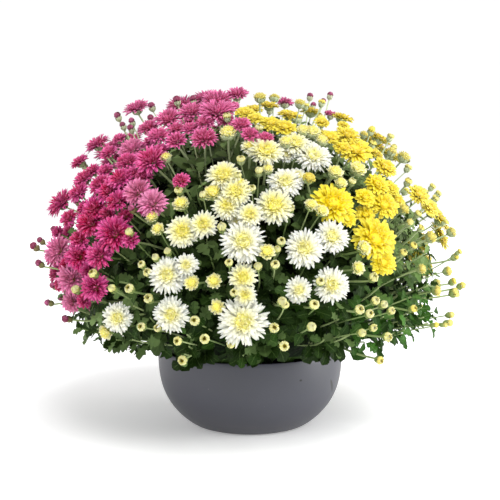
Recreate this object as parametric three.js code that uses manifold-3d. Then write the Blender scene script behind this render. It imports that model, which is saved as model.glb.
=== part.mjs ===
// Pot chrysanthemum: magenta, cream and yellow garden mums grown together in one bowl.
// Millimetres, +Z up, origin at the middle of the bowl's base. The front faces -Y.
import * as THREE from "three";
import Module from "manifold-3d";

const wasm = await Module();
wasm.setup();

// Bowl: a thin-walled planting bowl with a flat base
const rimRadius = 115;
const baseRadius = 69;
const bowlHeight = 96;
const wallThickness = 2.5;
const roundSegments = 26;
const outerHeights = [0, 3, 10, 24, 44, 68, 96];
const innerHeights = [3, 12, 30, 62, 96];

// Soil: fills the bowl to a little below the rim
const soilHeight = 84;
const soilCrown = 5;
const seatGap = 0.3;
const soilSideGap = 0.5;

// Crown: the dome that the flowers lie on, a spheroid flattened below its widest level
const crownCentre = 185;
const crownRadius = 252;
const crownAbove = 232;
const crownBelow = 150;

// Leafy hearts: the dense mass of inner leaves of each plant, which the rest grows out of.
// Each tier has its floor, its outer heights, the clear middle, and cells in degrees of azimuth.
const heartShare = 0.7;
const heartBelow = 118;
const heartGap = 0.4;
const heartStep = 30;
const tiers = [
  {
    heights: [100, 142, 195, 250],
    clear: 55,
    foot: 66,
    joint: [100, 150],
    cells: [
      ["magenta", 62, 152], ["magenta", 152, 241], ["cream", 241, 300], ["yellow", 300, 361],
      ["yellow", 361, 422],
    ],
  },
  {
    heights: [250.8, 279, 305],
    clear: 32,
    foot: 41,
    joint: [46, 275],
    cells: [["magenta", 62, 249], ["cream", 249, 297], ["yellow", 297, 422]],
  },
  {
    heights: [305.8, 328, 346],
    clear: 5,
    foot: 15,
    joint: [15, 328],
    cells: [["magenta", 50, 262], ["yellow", 262, 410]],
  },
];
const stemRadius = 3.6;
const stemSides = 4;
const stemDepth = 30;
const growthOrigin = new THREE.Vector3(0, 0, 85);

// Stalks, shoots and calyxes
const stalkRadius = 1.4;
const rootRadius = 1.6;
const stalkSides = 3;
const stalkSink = 7;
const calyxRadius = 5;
const calyxHeight = 5;
const headRise = 0.3;

// Blooms on the front turn to the front, by this much more where they stand below a height
const frontTurn = 0.35;
const frontTurnLow = 0.6;
const frontTurnTop = 310;
const frontTurnFade = 80;

// Petals of a layer: one more for each of these radii that a bloom exceeds
const fewestPetals = 5;
const petalSteps = [14.5, 19.5];
const headHeight = { magenta: 1.3, cream: 1.1, yellow: 1.1 };

// Leaves: half the outline as [along, across] shares of the length
const leafOutline = [[0.34, 0.3], [0.46, 0.15], [0.68, 0.34]];
const leafMiddle = 0.42;
const leafThickness = 1.8;
const leafDroop = 0.24;
const leafSink = 2;

// Round the back, magenta grows between these azimuths in degrees and yellow elsewhere
const magentaSector = [62, 241];

// The spots below are read on a square grid of 500 cells, looking at the plant from 1.3 m
const viewEye = new THREE.Vector3(0, -1300, 350);
const viewTarget = new THREE.Vector3(0, 0, 216);
const viewCells = 500;
const viewFocal = 1050;

// Open blooms: [column, row, diameter, how far behind the near side of the crown], in mm
const openSpots = {
  cream: [
    [243, 322, 52], [171, 315, 38], [117, 318, 34], [167, 275, 40], [182, 231, 36],
    [203, 224, 30], [243, 241, 46], [275, 205, 42], [305, 248, 42], [333, 236, 36],
    [332, 285, 38], [243, 277, 30], [227, 205, 32], [250, 214, 28], [223, 174, 38],
    [236, 191, 34], [285, 181, 38], [266, 150, 40], [295, 142, 36], [314, 155, 42],
    [186, 265, 26], [299, 290, 28], [245, 295, 24], [250, 146, 22],
  ],
  magenta: [
    [136, 107, 34], [192, 111, 36], [217, 110, 44], [217, 99, 40], [237, 93, 28],
    [168, 118, 36], [97, 143, 34], [79, 161, 26], [108, 152, 24], [147, 127, 26],
    [158, 135, 28], [204, 137, 32], [176, 140, 26], [131, 148, 34], [151, 159, 40],
    [127, 161, 28], [181, 180, 20], [120, 178, 30], [83, 178, 28], [100, 184, 30],
    [60, 202, 42], [78, 192, 28], [109, 190, 34], [117, 200, 28], [137, 191, 34],
    [94, 208, 32], [90, 222, 36], [154, 204, 34], [113, 233, 42], [134, 241, 20],
    [57, 250, 38], [78, 256, 34], [99, 255, 32], [69, 282, 38], [94, 287, 34],
    [70, 305, 26], [79, 240, 26], [241, 124, 24], [250, 134, 22], [269, 139, 20],
    [285, 102, 26, 190], [331, 114, 20, 155],
  ],
  yellow: [
    [244, 111, 24], [255, 117, 20], [271, 122, 26], [285, 126, 28], [330, 136, 24],
    [348, 134, 32], [355, 148, 46], [343, 147, 22], [386, 166, 30], [378, 183, 30],
    [394, 188, 20], [364, 196, 24], [385, 204, 36], [334, 202, 48], [349, 219, 18],
    [420, 194, 30], [431, 207, 26], [376, 238, 50], [384, 262, 30], [322, 121, 20],
    [343, 123, 16],
  ],
};

// Half-open flowers: [column, row, diameter]
const halfSpots = {
  cream: [
    [213, 193, 20], [181, 204, 18], [192, 283, 16], [214, 281, 16], [217, 307, 16],
    [267, 252, 17], [228, 133, 20], [286, 142, 16], [335, 172, 18], [358, 268, 15],
    [364, 248, 16], [106, 332, 17], [312, 132, 20], [358, 169, 20],
  ],
  yellow: [[260, 97, 15], [404, 157, 17], [431, 237, 15], [309, 178, 14], [452, 232, 14]],
};

// Buds: [column, row, diameter, how far behind]
const budSpots = {
  magenta: [
    [118, 117, 9], [177, 101, 9], [310, 97, 9, 190], [330, 96, 9, 190], [35, 247, 10],
    [40, 264, 9], [67, 319, 9], [132, 209, 8],
  ],
  cream: [
    [94, 274, 10], [77, 290, 10], [130, 289, 10], [149, 299, 10], [183, 360, 10],
    [222, 228, 10], [281, 242, 9], [282, 302, 10], [314, 305, 10], [284, 346, 10],
    [373, 278, 10], [359, 310, 10], [387, 337, 10],
  ],
  yellow: [
    [371, 131, 9], [408, 182, 9], [435, 199, 9], [403, 253, 8], [413, 309, 8],
    [448, 323, 9], [461, 286, 9], [455, 257, 9], [379, 360, 9], [454, 293, 12],
  ],
};
const backBudDiameter = 9;

// Open blooms of one colour closer than this are drawn together until their petals touch
const bunchReach = 5;
const petalTouch = 0.84;
const bunchLimit = 6;

// Blooms round the back: sprays of three, on a spiral of even turns over the crown
const spiralTurn = 137.508;
const sprayPoints = 34;
const sprayTopAngle = 12;
const sprayLowAngle = 98;
const sprayReach = 19.5;
const sprayClearance = 42;
const sprayDiameter = 40;
const sprayHidden = -0.08;
const backBudHidden = 0.03;
const backBudPoints = 36;

// Leafy shoots below the blooms, and leaves on the hearts, on spirals of the same kind
const shootPoints = 20;
const shootTopAngle = 92;
const shootLowAngle = 124;
const heartLeafPoints = 46;
const skirtLeafPoints = 22;

// Meshes in all: the blooms that stand alone beyond this join their plant's mesh
const meshLimit = 60;

const degree = Math.PI / 180;
const up = new THREE.Vector3(0, 0, 1);

// Even random numbers from 0 to 1, the same every time for one seed
function dice(seed) {
  let state = seed;
  return () => {
    state = (state * 16807) % 2147483647;
    return state / 2147483647;
  };
}

// ---- Solids ----

// Triangles between two rings of points, the lower one starting at a, the upper one at b
function band(a, lowCount, b, highCount) {
  const faces = [];
  const lowSteps = lowCount === 1 ? 0 : lowCount;
  const highSteps = highCount === 1 ? 0 : highCount;
  let i = 0;
  let j = 0;
  while (i < lowSteps || j < highSteps) {
    const high = b + (j % highCount);
    if (j < highSteps && (i === lowSteps || (j + 0.5) * lowCount <= (i + 0.5) * highCount)) {
      faces.push([a + (i % lowCount), b + ((j + 1) % highCount), high]);
      j += 1;
    } else {
      faces.push([a + i, a + ((i + 1) % lowCount), high]);
      i += 1;
    }
  }
  return faces;
}

// A closed solid through rings of points from the bottom up; a tip is a ring of one point.
// Each ring runs anticlockwise as seen from the top.
function loft(rings) {
  const points = rings.flat();
  const starts = rings.map((ring, k) => rings.slice(0, k).flat().length);
  const last = rings.length - 1;
  const faces = [];
  for (let k = 1; k < rings[0].length - 1; k += 1) {
    faces.push([0, k + 1, k]);
  }
  for (let k = 0; k < last; k += 1) {
    faces.push(...band(starts[k], rings[k].length, starts[k + 1], rings[k + 1].length));
  }
  for (let k = 1; k < rings[last].length - 1; k += 1) {
    faces.push([starts[last], starts[last] + k, starts[last] + k + 1]);
  }
  return new wasm.Manifold(new wasm.Mesh({
    numProp: 3,
    vertProperties: Float32Array.from(points.flatMap((point) => point.toArray())),
    triVerts: Uint32Array.from(faces.flat()),
  }));
}

// A frame of three square axes at a place, z along the axis and x as near the side as it can be
function frameAt(origin, axis, side) {
  const z = axis.clone().normalize();
  const x = side.clone().addScaledVector(z, -side.dot(z)).normalize();
  return { origin, x, y: z.clone().cross(x), z };
}

// A point of the frame, from its three coordinates
function inFrame(frame, x, y, z) {
  return frame.origin.clone().addScaledVector(frame.x, x).addScaledVector(frame.y, y)
    .addScaledVector(frame.z, z);
}

// A ring of points round the frame's axis; radiusAt and heightAt take the point's number
function ringAt(frame, count, radiusAt, heightAt, turn) {
  return Array.from({ length: count }, (_, k) => {
    const angle = turn + (2 * Math.PI * k) / count;
    const radius = radiusAt(k);
    return inFrame(frame, radius * Math.cos(angle), radius * Math.sin(angle), heightAt(k));
  });
}

// Any direction square to the axis
function anySide(axis) {
  const side = Math.abs(axis.z) < 0.9 ? up : new THREE.Vector3(1, 0, 0);
  return side.clone().cross(axis).normalize();
}

// Rings along a stalk through the points, with a radius at each; margin makes it that much thicker
function stalkRings(points, radii, sides, margin) {
  const last = points.length - 1;
  const growth = margin / Math.cos(Math.PI / sides);
  let side = anySide(points[1].clone().sub(points[0]));
  const rings = points.map((point, k) => {
    const ahead = points[Math.min(k + 1, last)].clone().sub(point).normalize();
    const behind = point.clone().sub(points[Math.max(k - 1, 0)]).normalize();
    const frame = frameAt(point, ahead.add(behind), side);
    side = frame.x;
    return ringAt(frame, sides, () => radii[k] + growth, () => 0, 0);
  });
  return { rings, side };
}

// Rings of a bud: an egg or, when half open, a cup that widens to its rim
function budRings(flower, margin, side) {
  const frame = frameAt(flower.foot, flower.axis, side);
  const radius = flower.radius + margin;
  const height = 1.9 * flower.radius + margin;
  const half = flower.kind === "half";
  const lower = half ? 0.62 : 0.95;
  const upper = half ? 1 : 0.8;
  const rimHeight = half ? 0.95 : 0.68;
  const tipHeight = half ? 0.72 : 1;
  return [
    ringAt(frame, 5, () => lower * radius, () => 0.25 * height, 0),
    ringAt(frame, 5, () => upper * radius, () => rimHeight * height, 0),
    [inFrame(frame, 0, 0, tipHeight * height)],
  ];
}

// Rings of an open bloom: an outer layer of petals, and an inner one with its tips over the gaps
function bloomRings(flower, margin, side, turn) {
  const radius = flower.radius + 1.5 * margin;
  const frame = frameAt(flower.foot, flower.axis, side);
  const petals = petalSteps.filter((step) => flower.radius > step).length + fewestPetals;
  const isTip = (k) => k % 2 === 0;
  const wobble = (k) => 1 + 0.07 * Math.sin(flower.turn * 7 + 2.3 * k);
  const outer = (k) => radius * (isTip(k) ? wobble(k) : 0.74);
  const height = radius * headHeight[flower.colour];
  const outerHeight = (k) => height * (isTip(k) ? 0.24 : 0.2);
  const inner = (k) => radius * (isTip(k) ? 0.36 : 0.62);
  const innerHeight = (k) => height * (isTip(k) ? 0.36 : 0.54) + margin;
  return [
    ringAt(frame, 3, () => calyxRadius + margin, () => -margin, turn),
    ringAt(frame, 2 * petals, outer, outerHeight, turn),
    ringAt(frame, 2 * petals, inner, innerHeight, turn),
    [inFrame(frame, 0, 0, 0.44 * height + margin)],
  ];
}

// A lobed leaf, a thin lens that arches down to its tip; margin makes it that much larger
function leafSolid(leaf, margin) {
  const { root, along: lengthwise } = leaf;
  const facing = crownNormal(root).addScaledVector(up, 0.7);
  const across = facing.cross(lengthwise).normalize();
  const frame = { origin: root, x: lengthwise, y: across, z: lengthwise.clone().cross(across) };
  const size = leaf.length + margin;
  const arch = (share) => -leafDroop * share * share * leaf.length;
  const corner = (along, side) => inFrame(
    frame,
    along * size - leafSink,
    side * size,
    arch(along) - 0.12 * Math.abs(side) * size,
  );
  const right = leafOutline.map(([along, side]) => corner(along, -side));
  const left = leafOutline.map(([along, side]) => corner(along, side)).reverse();
  const outline = [corner(0, 0), ...right, corner(1, 0), ...left];
  const half = leafThickness / 2 + margin;
  const middle = leafMiddle * size - leafSink;
  return loft([
    [inFrame(frame, middle, 0, arch(leafMiddle) - half)],
    outline,
    [inFrame(frame, middle, 0, arch(leafMiddle) + half)],
  ]);
}

function boxesMeet(one, two) {
  const a = one.boundingBox();
  const b = two.boundingBox();
  return [0, 1, 2].every((k) => a.min[k] < b.max[k] && b.min[k] < a.max[k]);
}

function meets(one, two) {
  return boxesMeet(one, two) && one.intersect(two).volume() > 1e-4;
}

// The largest body of a solid, without loose scraps
function largest(solid) {
  return solid.decompose().sort((one, two) => two.volume() - one.volume())[0];
}

// A solid without the points that joins and cuts leave along straight edges
function tidied(solid) {
  return solid.asOriginal().simplify(0.002);
}

// A bare stalk; margin leaves a gap round it
function stalkSolid({ root, neck }, margin) {
  return loft(stalkRings([root, neck], [rootRadius, stalkRadius], stalkSides, margin).rings);
}

// A limb with its calyx, bud or bare end; a bloom that stands alone is one with its stalk
function limbSolid({ root, neck, foot, axis, flower }, margin) {
  if (flower === null) {
    return loft(stalkRings([root, foot], [rootRadius, rootRadius], stalkSides, margin).rings);
  }
  if (flower.kind === "open" && !flower.alone) {
    const seat = foot.clone().addScaledVector(axis, margin - seatGap);
    const radii = [rootRadius, stalkRadius, calyxRadius];
    return loft(stalkRings([root, neck, seat], radii, stalkSides, margin).rings);
  }
  const { rings, side } = stalkRings([root, neck], [rootRadius, stalkRadius], stalkSides, margin);
  const head = flower.alone
    ? bloomRings(flower, margin, side, 0)
    : budRings(flower, margin, side);
  return loft([...rings, ...head]);
}

// ---- The crown ----

// A point of the crown in a direction, at a share of its full size
function crownPoint(azimuth, fromUpright, share) {
  const height = Math.cos(fromUpright) > 0 ? crownAbove : crownBelow;
  return new THREE.Vector3(
    share * crownRadius * Math.sin(fromUpright) * Math.cos(azimuth),
    share * crownRadius * Math.sin(fromUpright) * Math.sin(azimuth),
    crownCentre + share * height * Math.cos(fromUpright),
  );
}

// The crown's outward direction at a point
function crownNormal(point) {
  const height = point.z > crownCentre ? crownAbove : crownBelow;
  return new THREE.Vector3(
    point.x / crownRadius ** 2,
    point.y / crownRadius ** 2,
    (point.z - crownCentre) / height ** 2,
  ).normalize();
}

// Where the line of sight through a grid cell first meets the crown, or passes nearest to it
function crownSpot(column, row) {
  const forward = viewTarget.clone().sub(viewEye).normalize();
  const right = new THREE.Vector3(1, 0, 0);
  const above = right.clone().cross(forward);
  const sight = forward
    .addScaledVector(right, (column - viewCells / 2) / viewFocal)
    .addScaledVector(above, (viewCells / 2 - row) / viewFocal)
    .normalize();
  const meet = (height) => {
    const squash = new THREE.Vector3(1 / crownRadius, 1 / crownRadius, 1 / height);
    const from = viewEye.clone().sub(new THREE.Vector3(0, 0, crownCentre)).multiply(squash);
    const step = sight.clone().multiply(squash);
    const nearest = -from.dot(step) / step.lengthSq();
    const miss = from.lengthSq() - step.lengthSq() * nearest * nearest;
    const reach = nearest - Math.sqrt(Math.max(0, 1 - miss) / step.lengthSq());
    return viewEye.clone().addScaledVector(sight, reach);
  };
  const high = meet(crownAbove);
  return { point: high.z > crownCentre ? high : meet(crownBelow), sight };
}

// A flower centred at a place; it faces outwards and a little up, and a bloom also to the front
function flowerAt(colour, kind, centre, diameter, turn) {
  const outward = crownNormal(centre);
  const toEye = viewEye.clone().sub(centre).normalize();
  const lift = kind === "bud" ? 0.6 : 0.15 + 0.45 * Math.max(0, outward.z);
  const seen = kind === "open" ? Math.min(1, Math.max(0, 0.5 + outward.dot(toEye))) : 0;
  const low = Math.min(1, Math.max(0, (frontTurnTop - centre.z) / frontTurnFade));
  const axis = outward.addScaledVector(up, lift)
    .addScaledVector(toEye, seen * (frontTurn + frontTurnLow * low))
    .normalize();
  return { colour, kind, centre, axis, radius: diameter / 2, turn };
}

const flowers = [];

// The listed flowers, each a little in front of or behind the crown
const depthDice = dice(11);
const depthSpread = 7;
function addListed(kind, spots) {
  for (const [colour, list] of Object.entries(spots)) {
    for (const [column, row, diameter, behind = 0] of list) {
      const { point, sight } = crownSpot(column, row);
      point.addScaledVector(sight, behind + depthSpread * (depthDice() - 0.5));
      flowers.push(flowerAt(colour, kind, point, diameter, 2 * Math.PI * depthDice()));
    }
  }
}
addListed("open", openSpots);
addListed("half", halfSpots);
addListed("bud", budSpots);

// The colour that grows at an azimuth round the back
function colourAt(azimuth) {
  const degrees = ((azimuth / degree) % 360 + 360) % 360;
  return degrees > magentaSector[0] && degrees < magentaSector[1] ? "magenta" : "yellow";
}

// Directions on an even spiral between two angles from upright
function spiral(count, topAngle, lowAngle) {
  const top = Math.cos(topAngle * degree);
  const low = Math.cos(lowAngle * degree);
  return Array.from({ length: count }, (_, k) => ({
    azimuth: k * spiralTurn * degree,
    fromUpright: Math.acos(top + ((low - top) * (k + 0.5)) / count),
  }));
}

// Whether a place on the crown is turned away from the front view
function isHidden(point, limit) {
  return crownNormal(point).dot(viewEye.clone().sub(point).normalize()) < limit;
}

const backDice = dice(23);
for (const { azimuth, fromUpright } of spiral(sprayPoints, sprayTopAngle, sprayLowAngle)) {
  const middle = crownPoint(azimuth, fromUpright, 1);
  const crowded = flowers.some((flower) => flower.kind === "open"
    && flower.centre.distanceTo(middle) < sprayClearance);
  if (isHidden(middle, sprayHidden) && !crowded) {
    const frame = frameAt(middle, crownNormal(middle), up);
    const start = 2 * Math.PI * backDice();
    for (let k = 0; k < 3; k += 1) {
      const angle = start + (2 * Math.PI * k) / 3;
      const reach = sprayReach * (0.9 + 0.25 * backDice());
      const rise = 3 * (backDice() - 0.5);
      const centre = inFrame(frame, reach * Math.cos(angle), reach * Math.sin(angle), rise);
      const diameter = sprayDiameter * (0.85 + 0.3 * backDice());
      const colour = colourAt(azimuth);
      flowers.push(flowerAt(colour, "open", centre, diameter, 2 * Math.PI * backDice()));
    }
  }
}

// Buds round the back, where the blooms leave room
for (const { azimuth, fromUpright } of spiral(backBudPoints, 20, 114)) {
  const middle = crownPoint(azimuth + 0.4, fromUpright, 1);
  const crowded = flowers.some((flower) => flower.centre.distanceTo(middle) < flower.radius + 8);
  if (isHidden(middle, backBudHidden) && !crowded) {
    flowers.push(flowerAt(colourAt(azimuth + 0.4), "bud", middle, backBudDiameter, 0));
  }
}

// ---- Bunches ----

// Draws neighbours of one colour together, the nearest first, each bunch as one
const blooms = flowers.filter((flower) => flower.kind === "open");
for (const bloom of blooms) {
  bloom.bunch = [bloom];
}
const pairs = [];
blooms.forEach((one, k) => {
  for (const two of blooms.slice(k + 1)) {
    const gap = one.centre.distanceTo(two.centre) - petalTouch * (one.radius + two.radius);
    if (one.colour === two.colour && gap < bunchReach) {
      pairs.push({ one, two, gap });
    }
  }
});
pairs.sort((first, second) => first.gap - second.gap);
for (const { one, two } of pairs) {
  if (one.bunch !== two.bunch && one.bunch.length + two.bunch.length <= bunchLimit) {
    const [still, moved] = one.bunch.length < two.bunch.length ? [two, one] : [one, two];
    const way = still.centre.clone().sub(moved.centre);
    const slide = Math.max(0, way.length() - petalTouch * (one.radius + two.radius));
    way.normalize();
    if (moved.bunch.length === 1) {
      const frame = frameAt(moved.centre, moved.axis, anySide(moved.axis));
      moved.turn = Math.atan2(way.dot(frame.y), way.dot(frame.x));
    }
    const step = way.multiplyScalar(slide);
    const joined = [...still.bunch, ...moved.bunch];
    for (const bloom of moved.bunch) {
      bloom.centre.add(step);
    }
    for (const bloom of joined) {
      bloom.bunch = joined;
    }
  }
}
for (const flower of flowers) {
  flower.foot = flower.centre.clone().addScaledVector(flower.axis, -headRise * flower.radius);
}

// ---- Plants ----

// The smallest distance between two straight pieces
function pieceGap(a0, a1, b0, b1) {
  const d1 = a1.clone().sub(a0);
  const d2 = b1.clone().sub(b0);
  const r = a0.clone().sub(b0);
  const a = d1.lengthSq();
  const e = d2.lengthSq();
  const b = d1.dot(d2);
  const c = d1.dot(r);
  const f = d2.dot(r);
  const clamp = (value) => Math.min(1, Math.max(0, value));
  const spread = a * e - b * b;
  let s = spread > 1e-9 ? clamp((b * f - c * e) / spread) : 0;
  let t = (b * s + f) / e;
  if (t < 0 || t > 1) {
    t = clamp(t);
    s = clamp((b * t - c) / a);
  }
  return a0.clone().addScaledVector(d1, s).distanceTo(b0.clone().addScaledVector(d2, t));
}

// The outer radius of the leafy hearts at a height
function heartRadius(height) {
  const reach = height > crownCentre ? heartShare * crownAbove : heartBelow;
  const rise = (height - crownCentre) / reach;
  return heartShare * crownRadius * Math.sqrt(Math.max(0, 1 - rise * rise));
}

// A place from its radius, azimuth in degrees and height
function placeAt(radius, azimuth, height) {
  const angle = azimuth * degree;
  return new THREE.Vector3(radius * Math.cos(angle), radius * Math.sin(angle), height);
}

// One plant for each cell: its heart, main stem, limbs and leaves
const plants = [];
const plantCount = {};
for (const tier of tiers) {
  for (const [colour, from, to] of tier.cells) {
    plantCount[colour] = (plantCount[colour] ?? 0) + 1;
    const name = `${colour}_leafy_stem_${plantCount[colour]}`;
    plants.push({ name, colour, tier, from, to, limbs: [], solids: [] });
  }
}

// A heart's radius in one of its sections, uneven as leaves are
function sectionRadius(azimuth, height) {
  return heartRadius(height) * (1 + 0.03 * Math.sin(azimuth * 0.21 + height * 0.06));
}

// The radius of a heart's flat-sided surface at an azimuth and height
function surfaceRadius({ tier, from, to }, azimuth, height) {
  const step = (to - from) / Math.ceil((to - from) / heartStep);
  const first = from + step * Math.min(Math.floor((azimuth - from) / step), (to - from) / step - 1);
  const { heights } = tier;
  const k = Math.max(0, heights.findLastIndex((level) => level <= height));
  const low = heights[Math.min(k, heights.length - 2)];
  const high = heights[Math.min(k, heights.length - 2) + 1];
  const share = (height - low) / (high - low);
  const [near, far] = [first, first + step].map((side) => (1 - share) * sectionRadius(side, low)
    + share * sectionRadius(side, high));
  const into = (azimuth - first) * degree;
  return (near * far * Math.sin(step * degree))
    / (near * Math.sin(into) + far * Math.sin(step * degree - into));
}

// A heart: sections of its tier carried round the cell
function heartSolid({ tier, from, to }) {
  const steps = Math.ceil((to - from) / heartStep);
  const rings = [];
  for (let k = 0; k <= steps; k += 1) {
    const azimuth = from + ((to - from) * k) / steps;
    const inset = heartGap * ((k === 0) - (k === steps));
    const shift = placeAt(inset, azimuth + 90, 0);
    const outer = tier.heights.map((height) => placeAt(
      sectionRadius(azimuth, height),
      azimuth,
      height,
    ).add(shift));
    const bottom = placeAt(tier.clear, azimuth, tier.heights[0]).add(shift);
    const top = placeAt(tier.clear, azimuth, tier.heights.at(-1)).add(shift);
    rings.push([top, ...outer.reverse(), bottom]);
  }
  return loft(rings);
}

for (const plant of plants) {
  plant.heart = heartSolid(plant);
  plant.solids.push(plant.heart);
}

// The plant of a colour (any colour when none is given) that is nearest to a place on the
// hearts, with the place that it offers, a little way under its surface
function nearestPlant(azimuth, height, colour, sink) {
  let best = { reach: Infinity };
  for (const plant of plants) {
    if (colour === null || plant.colour === colour) {
      const { heights } = plant.tier;
      const level = Math.min(heights.at(-1) - 6, Math.max(heights[0] + 6, height));
      const edge = 6 / heartRadius(level) / degree;
      const middle = (plant.from + plant.to) / 2;
      const half = (plant.to - plant.from) / 2 - edge;
      const side = ((azimuth - middle + 900) % 360) - 180;
      const turn = middle + Math.min(half, Math.max(-half, side));
      const point = placeAt(surfaceRadius(plant, turn, level) - sink, turn, level);
      const reach = point.distanceTo(placeAt(heartRadius(level) - sink, azimuth, height));
      if (reach < best.reach) {
        best = { reach, point, plant };
      }
    }
  }
  return best;
}

// Where the way out to a place leaves the hearts: [azimuth, height]
function wayOut(target) {
  let near = 0.5;
  let far = 1;
  for (let k = 0; k < 20; k += 1) {
    const share = (near + far) / 2;
    const point = growthOrigin.clone().lerp(target, share);
    if (Math.hypot(point.x, point.y) < heartRadius(point.z)) {
      near = share;
    } else {
      far = share;
    }
  }
  const point = growthOrigin.clone().lerp(target, near);
  return [Math.atan2(point.y, point.x) / degree, point.z];
}

// Straight stalks that stand already, each with its plant
const pieces = [];

// How badly a straight stalk would run into other stalks, flowers and hearts
function crossing(a, b, plant, flower) {
  let cost = 0;
  for (const piece of pieces) {
    const weight = piece.plant === plant ? 12 : 60;
    cost += weight * Math.max(0, 2 * rootRadius + 0.8 - pieceGap(a, b, piece.a, piece.b));
  }
  for (const other of flowers) {
    if (other !== flower) {
      const low = other.foot.clone().addScaledVector(other.axis, 0.25 * other.radius);
      const high = other.foot.clone().addScaledVector(other.axis, 0.4 * other.radius);
      const open = other.kind === "open";
      const room = open ? 0.8 * other.radius : other.radius + 2;
      cost += (open ? 2 : 40) * Math.max(0, room + rootRadius - pieceGap(a, b, low, high));
    }
  }
  for (const share of [0.15, 0.3, 0.45, 0.6]) {
    const point = a.clone().lerp(b, share);
    const azimuth = Math.atan2(point.y, point.x) / degree;
    const side = ((azimuth - (plant.from + plant.to) / 2 + 900) % 360) - 180;
    const level = point.z > plant.tier.heights[0] && point.z < plant.tier.heights.at(-1);
    const own = level && Math.abs(side) < (plant.to - plant.from) / 2 - 0.5;
    if (!own) {
      const radius = Math.hypot(point.x, point.y);
      cost += 40 * Math.max(0, 1.03 * heartRadius(point.z) + 3 - radius);
    }
  }
  return cost;
}

// Grows a stalk to a foot from the root that is nearest, turns least and clears the other plants
function growLimb(foot, axis, colour, flower) {
  const neck = foot.clone().addScaledVector(axis, -calyxHeight);
  const [azimuth, height] = wayOut(foot);
  const choices = [];
  for (const swing of [0, -6, 6, -12, 12, -20, 20]) {
    for (const lift of [0, -10, 10, -22, 22]) {
      const { point, plant } = nearestPlant(azimuth + swing, height + lift, colour, stalkSink);
      const way = neck.clone().sub(point);
      const turn = 1 - way.clone().normalize().dot(axis);
      const cost = way.length() + 60 * turn + crossing(point, neck, plant, flower);
      choices.push({ root: point, neck, foot, axis, flower, plant, cost });
    }
  }
  choices.sort((one, two) => one.cost - two.cost);
  const best = choices.find((choice) => {
    const room = limbSolid(choice, seatGap);
    const others = plants.filter((plant) => plant !== choice.plant);
    return !others.some((plant) => plant.solids.some((solid) => meets(solid, room)));
  });
  if (best) {
    pieces.push({ a: best.root, b: neck, plant: best.plant });
    best.plant.limbs.push(best);
    best.solid = limbSolid(best, 0);
    best.plant.solids.push(best.solid);
  }
}

// The nearest flowers grow first, then the leafy shoots round the skirt of the crown
const byReach = [...flowers].sort((one, two) => one.foot.length() - two.foot.length());
for (const flower of byReach) {
  growLimb(flower.foot, flower.axis, flower.colour, flower);
}
const shootDice = dice(37);
for (const { azimuth, fromUpright } of spiral(shootPoints, shootTopAngle, shootLowAngle)) {
  const end = crownPoint(azimuth, fromUpright, 0.84 + 0.06 * shootDice());
  growLimb(end, end.clone().sub(growthOrigin).normalize(), null, null);
}

const materials = {
  bowl: new THREE.MeshStandardMaterial({ color: 0x57575e, roughness: 0.5, metalness: 0 }),
  soil: new THREE.MeshStandardMaterial({ color: 0x2d2119, roughness: 1, metalness: 0 }),
  leaf: new THREE.MeshStandardMaterial({ color: 0x3f6b2c, roughness: 0.7, metalness: 0 }),
  magenta: new THREE.MeshStandardMaterial({ color: 0xc01a78, roughness: 0.6, metalness: 0 }),
  cream: new THREE.MeshStandardMaterial({ color: 0xf6f2d0, roughness: 0.6, metalness: 0 }),
  yellow: new THREE.MeshStandardMaterial({ color: 0xfbd408, roughness: 0.6, metalness: 0 }),
};

// ---- Leaves ----

// Leaves that may grow: each has several directions to try, until one is clear
const leafDice = dice(41);
const leafPlan = [];
const leafTurns = [0, 40, -40, 80, -80, 120, -120];

// Plans a leaf that leans from the outward direction of its root, swinging round it by degrees
function planLeaf({ plant, point, base = plant.heart }, outward, lean, swing, length) {
  const { x, y } = frameAt(point, outward, up);
  const choices = leafTurns.map((turn) => {
    const angle = (swing + turn) * degree;
    return outward.clone().multiplyScalar(Math.sqrt(1 - lean * lean))
      .addScaledVector(x, -lean * Math.cos(angle))
      .addScaledVector(y, lean * Math.sin(angle));
  });
  leafPlan.push({ plant, root: point, choices, length, base });
}

// On a heart: the leaf leans out and, at first try, hangs
for (const { azimuth, fromUpright } of spiral(heartLeafPoints, 25, 108)) {
  const height = crownPoint(azimuth, fromUpright, heartShare).z;
  const spot = nearestPlant(azimuth / degree, height, null, 1);
  const swing = (leafDice() - 0.5) * 140;
  planLeaf(spot, crownNormal(spot.point), 0.78, swing, 46 + 12 * leafDice());
}

// Round the skirt: longer leaves that lean out over the rim of the bowl
for (let k = 0; k < skirtLeafPoints; k += 1) {
  const azimuth = (360 * (k + 0.6 * leafDice())) / skirtLeafPoints;
  const spot = nearestPlant(azimuth, 112 + 24 * (k % 2), null, 1);
  const outward = placeAt(1, azimuth, 0);
  planLeaf(spot, outward, 0.05 + 0.22 * leafDice(), (leafDice() - 0.5) * 50, 48 + 12 * leafDice());
}

// At the end of each shoot
for (const plant of plants) {
  for (const { neck, foot, root, flower, solid } of plant.limbs) {
    if (flower === null) {
      const axis = neck.clone().sub(root).normalize();
      const tip = { plant, point: foot, base: solid };
      planLeaf(tip, axis, 0.25, 360 * leafDice(), 40 + 12 * leafDice());
    }
  }
}

// ---- Assembly ----

const model = new THREE.Group();

function addMesh(name, solid, material) {
  const mesh = solid.getMesh();
  const geometry = new THREE.BufferGeometry();
  geometry.setAttribute("position", new THREE.BufferAttribute(mesh.vertProperties, 3));
  geometry.setIndex(new THREE.BufferAttribute(mesh.triVerts, 1));
  geometry.computeVertexNormals();
  const part = new THREE.Mesh(geometry, material);
  part.name = name;
  model.add(part);
}

// Bowl: radius grows quickly from the base and stands nearly upright at the rim
function bowlRadius(height) {
  const rise = 1 - (1 - height / bowlHeight) ** 2.95;
  return baseRadius + (rimRadius - baseRadius) * rise ** 0.85;
}

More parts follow.
